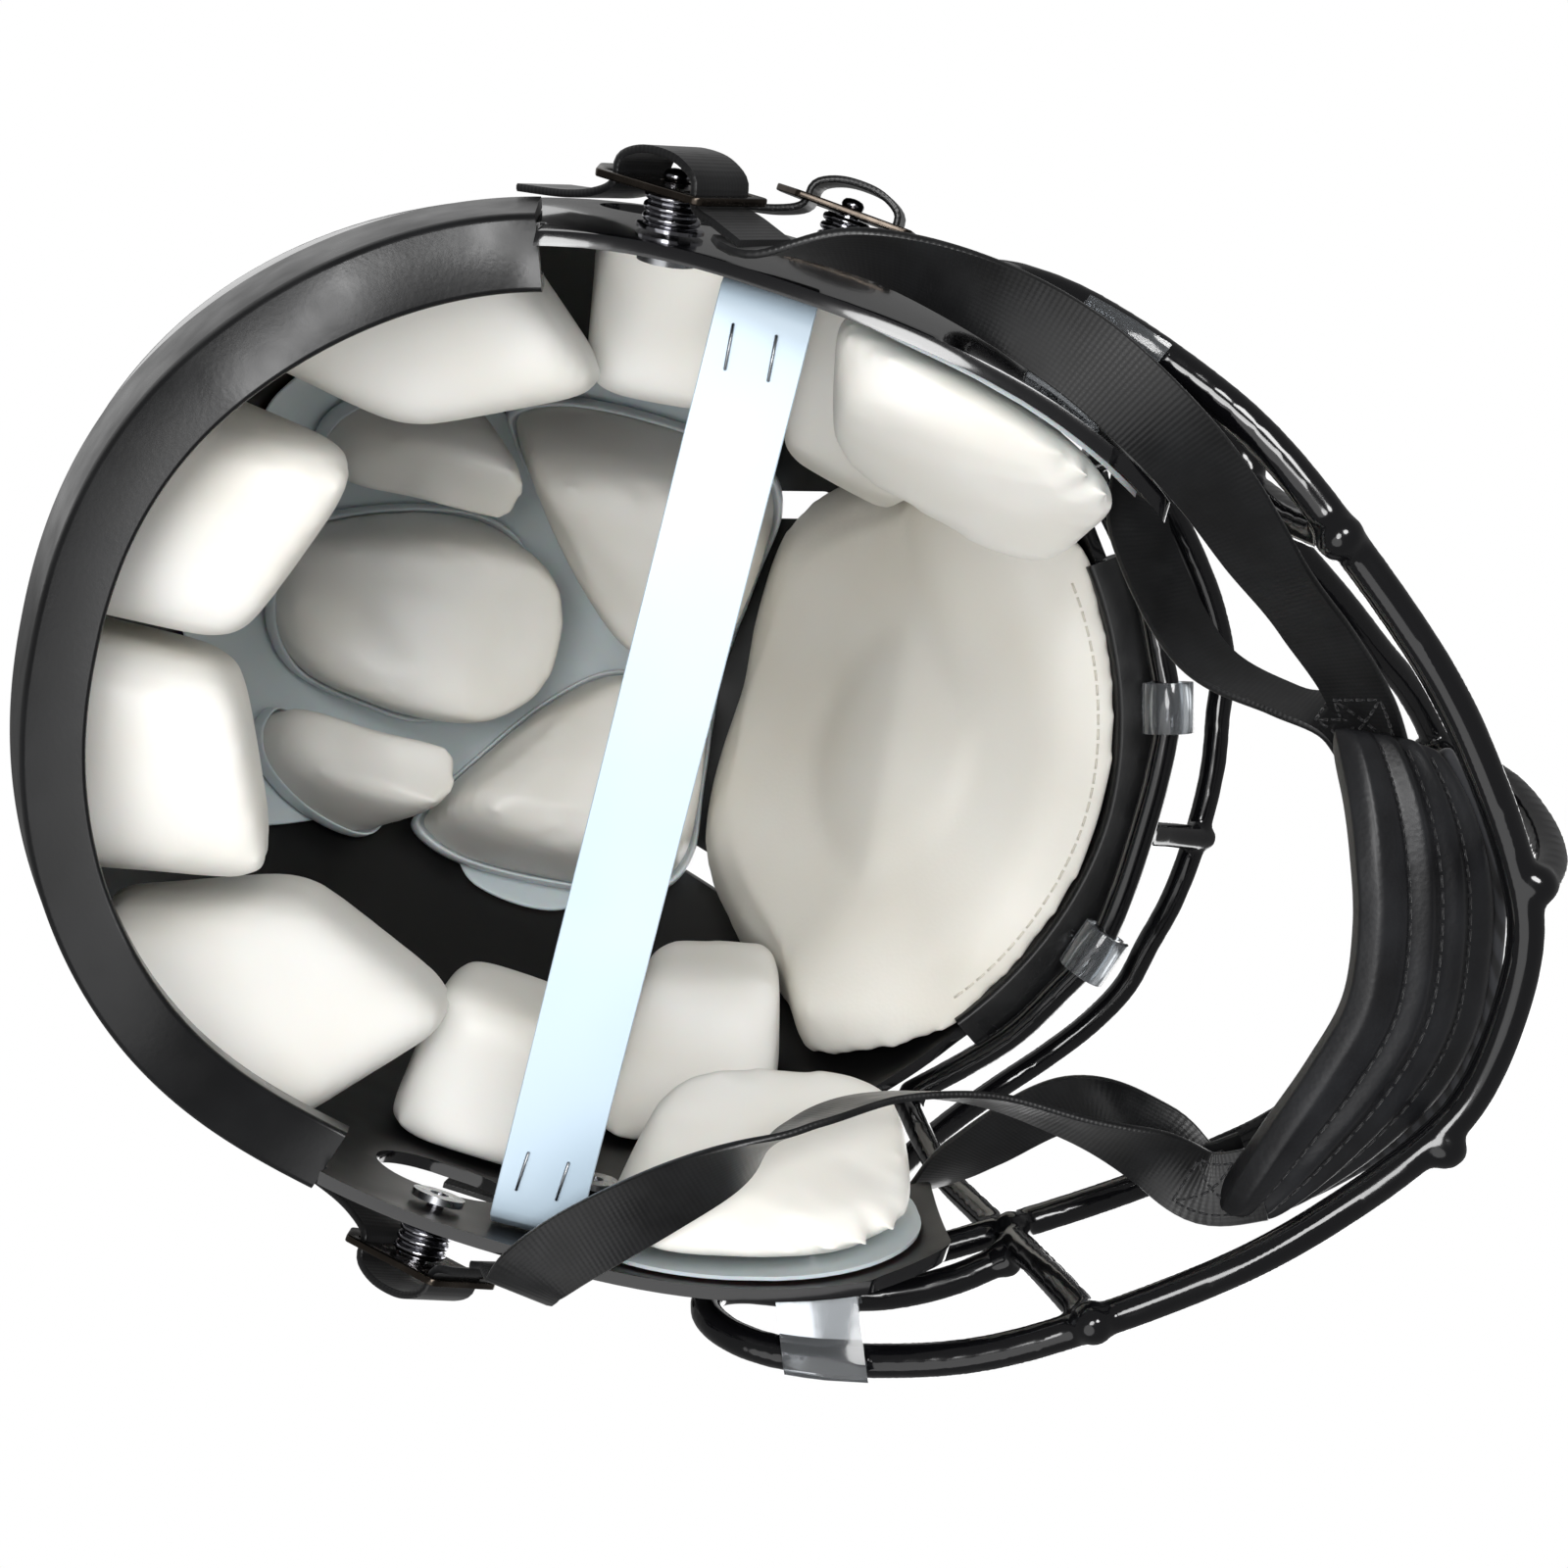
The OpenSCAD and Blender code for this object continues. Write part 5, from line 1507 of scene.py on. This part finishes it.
    def build_sheets(self, finish: Material) -> None:
        """Builds the formed crown tray with a raised rim round each pad, and the jaw pads' flanges."""
        depth = [self.lining, self.sheet]
        half = [[*p, *depth] for p in self.tray]
        cups = [lofted("crown_tray_sheet", self.shaped(half, [0, 60, 235], depth, self.sheet_rows(0.06)))]
        for corners, sides in ((CROWN_REAR, [Side.LEFT]), (CROWN_SMALL, Side), (CROWN_TOP, Side)):
            rim = self.dome_pad(corners, self.rim_profile, self.rim_height)
            cups += [lofted("pad_tray", rim, flip=side.flip) for side in sides]
        dressed(subdivided(joined("crown_tray_formed", cups)), finish, "tray", "helmet", "crown_sheet")
        rows = np.array([self.patch(self.block(3) * s, (-48, 40, 36, 33), self.lining + self.sheet * t)
                         for s, t in self.sheet_rows(0.08)])
        for side in Side:
            flange = smooth_by_angle(lofted(f"jaw_flange_{side.value}_sheet", rows, flip=side.flip), 40)
            dressed(flange, finish, "tray", "helmet", f"jaw_flange_{side.value}")

    def build_hem(self, thread: Material) -> None:
        """Sews a row of stitches along the front pad's brow edge."""
        pad = bpy.data.objects["front_pad_cover"]
        line = []
        for x in np.linspace(-62, 62, 90):
            below = in_frame(SHELL.face(x, self.hem + 1, 12) * [1, 1, 0] + [0, 0, 100])
            hit, place, normal, _ = pad.ray_cast(below, (0, 0, 1))
            if hit:
                line.append(np.array(place + normal * 0.1 * MM) / MM - [0, SHELL.middle_y, 0])
        stitches = joined("front_pad_stitches", stitched(np.array(line), 0.35, 4.2, 3.0))
        dressed(stitches, thread, "leather", "helmet")


CROWN_REAR = [[-1, 144, 194, 15], [-16, 144, 192, 21], [-29, 127, 211, 38], [-38, 95, 233], [-33, 75, 243],
              [-16, 66, 250], [16, 66, 250], [33, 77, 242], [41, 93, 233], [38, 110, 221, 38],
              [30, 131, 205, 24], [16, 140, 196, 16]]
CROWN_SMALL = [[50, 137, 189, 17], [42, 137, 195, 18], [41, 132, 200, 24], [48, 119, 208, 38], [54, 101, 224],
               [63, 95, 222], [74, 93, 212], [79, 99, 204], [72, 116, 194, 35], [60, 131, 188, 20]]
CROWN_TOP = [[75, 84, 217], [67, 84, 223], [47, 72, 240], [23, 54, 251], [6, 33, 256], [5, 8, 258],
             [12, -7, 257],
             [42, -12, 250], [66, -14, 239], [80, -2, 231], [84, 30, 226], [82, 66, 218]]


def puffed(covers: list, most: float, frames: int = 20) -> None:
    """Swells closed covers together under air pressure, each point moving no further than most.

    Args:
        covers: the covers; their meshes are changed.
        most: how far a point may move, in metres.
        frames: how long the air has.
    """
    points, faces = [], []
    for cover in covers:
        faces += [[len(points) + i for i in p.vertices] for p in cover.data.polygons]
        points += [v.co[:] for v in cover.data.vertices]
    mesh = bpy.data.meshes.new("air")
    mesh.from_pydata(points, [], faces)
    air = bpy.data.objects.new("air", mesh)
    bpy.context.collection.objects.link(air)
    only(air)
    cloth = air.modifiers.new("cloth", "CLOTH")
    cloth.settings.quality = 4
    cloth.settings.use_pressure = True
    cloth.settings.uniform_pressure_force = 4
    cloth.settings.effector_weights.gravity = 0
    cloth.settings.tension_stiffness = 12
    cloth.settings.bending_stiffness = 2
    cloth.point_cache.frame_end = frames
    for step in range(frames):
        bpy.context.scene.frame_set(step + 1)
    ready = air.evaluated_get(bpy.context.evaluated_depsgraph_get())
    move = np.array([v.co[:] for v in ready.data.vertices]) - points
    far = np.linalg.norm(move, axis=1, keepdims=True)
    move *= np.minimum(1, most / np.maximum(far, 1e-9))
    placed = iter(move + points)
    for cover in covers:
        for v, p in zip(cover.data.vertices, placed):
            v.co = p
        cover.data.update()
    bpy.data.objects.remove(air)
    bpy.context.scene.frame_set(1)
    LOG.info("air swelled the pads by %.2f mm on average", np.linalg.norm(move, axis=1).mean() / MM)


@dataclass
class Spreader:
    """The bare plastic strip across the opening, its ends folded up against the wall.

    A staple is its start and end along the strip, its skew and the length of its legs.
    """

    width: float = 20.0
    thick: float = 1.2
    level: float = 22.0
    reach: float = 103.5
    fold: float = 13.0
    wall: float = 4.4
    staple: tuple = (86, 95, 0.6, 0.5)

    def build(self, finish: Material, steel: Material) -> None:
        """Builds the strip and the two staples at each end."""
        z, far = self.level, self.reach
        top = SHELL.side(0, z + self.fold, self.wall + self.thick / 2)
        half = [[0, 0, z], [30, 0, z - 0.1], [60, 0, z], [88, 0, z + 0.1], [far - 4, 0, z + 0.2],
                [far - 1, 0, z + 1], [far, 0, z + 2.8], [(far + top[0]) / 2 + 1, 0, z + self.fold * 0.6],
                top.tolist()]
        path = even(spline(mirrored(half), 8), 2.0)
        t = tangents(path)
        faces = np.column_stack([-t[:, 2], 0 * t[:, 0], t[:, 0]])
        strip = band("spreader_strip_sheet", path, faces, self.width, self.thick, across=10)
        dressed(smooth_by_angle(strip, 50), finish, "strip", "helmet", "spreader_strip")
        low = z - self.thick / 2 - 0.25
        start, end, skew, leg = self.staple
        staples = []
        for side in Side:
            for y in (-4.0, 5.0):
                legs = np.array([[start, y, low + leg], [start, y, low], [end, y + skew, low],
                                 [end, y + skew, low + leg]])
                staples.append(tube("staple", legs, 0.35, 8, flip=side.flip))
        dressed(joined("spreader_staples", staples), steel, "screw", "helmet")


@dataclass
class Studio:
    """Camera at the photograph's angle, white surround, pale floor and soft lamps.

    The camera's place is in millimetres, the lamps' places and sizes and the floor's in metres.
    """

    place: tuple = (-64.644, 3.801, -330.909)
    right: tuple = (-0.25468, -0.96699, 0.00852)
    down: tuple = (0.95349, -0.25257, -0.16448)
    forward: tuple = (0.16121, -0.03377, 0.98634)
    lens: float = 39.078
    soft: float = 0.76
    gloss: float = 0.17
    floor_size: float = 60.0
    gap: float = 0.0006
    target: tuple = (0, 0, 0.12)
    lamps: tuple = (("key", (-0.62, -0.2, -1.05), 0.4, 6.0), ("fill", (0.7, 0.5, -1.3), 1.6, 7.0),
                    ("flash", (-0.1, 0.1, -0.55), 0.25, 1.6), ("above", (0.5, -0.9, 1.5), 1.6, 16.0),
                    ("behind", (-0.8, 1.2, 1.0), 2.4, 8.0))

    def build_camera(self) -> None:
        """Sets the camera up."""
        data = bpy.data.cameras.new("camera")
        data.lens, data.sensor_width = self.lens, 36
        data.clip_start, data.clip_end = 0.01, 50
        camera = bpy.data.objects.new("camera", data)
        bpy.context.collection.objects.link(camera)
        axes = self.right, [-v for v in self.down], [-v for v in self.forward]
        turn = Matrix(axes).transposed().to_4x4()
        camera.matrix_world = Matrix.Translation(Vector(self.place) * MM) @ turn
        bpy.context.scene.camera = camera
        bpy.context.scene.view_settings.view_transform = "Standard"

    def build_world(self) -> None:
        """White to the camera and through clear parts, soft light on matt faces, and dimmer in gloss."""
        world = bpy.data.worlds.new("surround")
        bpy.context.scene.world = world
        world.use_nodes = True
        world.node_tree.nodes.clear()
        n, white = Nodes(world.node_tree), (1, 1, 1, 1)
        path = n.add("LightPath")
        seen = n.maths("ADD", (path, "Is Camera Ray"), (path, "Is Transmission Ray"), use_clamp=True)
        level = n.maths("MULTIPLY_ADD", (path, "Is Glossy Ray"), self.gloss - self.soft, self.soft)
        lit = n.add("Background", {"Color": white, "Strength": level})
        bare = n.add("Background", {"Color": white, "Strength": 1.0})
        mix = n.add("MixShader", {0: seen, 1: (lit, 0), 2: (bare, 0)})
        n.add("OutputWorld", {"Surface": (mix, 0)})

    def build_floor(self) -> None:
        """A pale floor under the helmet, clear from below so that the camera looks up through it."""
        bpy.ops.object.select_all(action="DESELECT")
        bpy.ops.mesh.primitive_plane_add(size=self.floor_size, location=(0, 0, -self.gap))
        floor = bpy.context.object
        floor.name = "pale_floor"
        bpy.ops.object.transform_apply(location=True, rotation=True, scale=True)
        r = Recipe("pale_floor_paper")
        front = r.maths("SUBTRACT", 1.0, (r.add("NewGeometry"), "Backfacing"))
        seen = r.maths("MULTIPLY", (r.add("LightPath"), "Is Camera Ray"), front)
        mix = r.add("MixShader", {0: seen, 1: (r.add("BsdfTransparent"), 0), 2: (r.shader, 0)})
        r.feed(r.tree.nodes["Material Output"].inputs["Surface"], (mix, 0))
        floor.data.materials.append(r.finish(Base_Color=linear("#F4F4F2"), Roughness=0.9))

    def build_lamps(self) -> None:
        """Places the soft lamps: a key below the wearer's right, fills, and one above."""
        for name, place, size, watts in self.lamps:
            data = bpy.data.lights.new(name, "AREA")
            data.shape, data.size, data.energy = "DISK", size, watts
            lamp = bpy.data.objects.new(name, data)
            bpy.context.collection.objects.link(lamp)
            at = Vector(place)
            turn = (Vector(self.target) - at).to_track_quat("-Z", "Y")
            lamp.matrix_world = Matrix.Translation(at) @ turn.to_matrix().to_4x4()


def main() -> None:
    """Builds the helmet piece by piece, then the studio round it."""
    logging.basicConfig(level=logging.INFO, format="%(message)s", stream=sys.stdout)
    shell, mask, strap, liner, strip = ShellAssembly(), FaceMask(), ChinStrap(), Liner(), Spreader()
    steel, black = PlatedSteel().material(), SewingThread("black_thread", "#101013").material()
    pale = SewingThread("cream_thread", "#DAD5C8").material()
    vinyl, tray, woven = WhiteVinyl().material(), TrayPlastic().material(), Webbing().material()
    bumper = VinylBumper().material()
    shell.build_shell(PolycarbonateShell().material(), PolycarbonateInside().material())
    shell.build_rear_bumper(bumper)
    shell.build_front_bumper(bumper)
    mask.build_grille(DipCoat().material())
    mask.build_clips(ClearClip().material())
    mask.dress_fasteners(steel)
    strap.build_posts(DarkChrome().material())
    strap.build_buckles(BronzePlate().material())
    strap.build_strap_ends(woven)
    strap.build_straps(woven, black)
    strap.build_cup(CupVinyl().material(), CordBraid().material(), black)
    liner.build_pads(vinyl, CreamLeather().material())
    liner.build_sheets(tray)
    liner.build_hem(pale)
    strip.build(StripPlastic().material(), steel)
    studio = Studio()
    studio.build_camera()
    studio.build_world()
    studio.build_floor()
    studio.build_lamps()


if __name__ == "__main__":
    main()
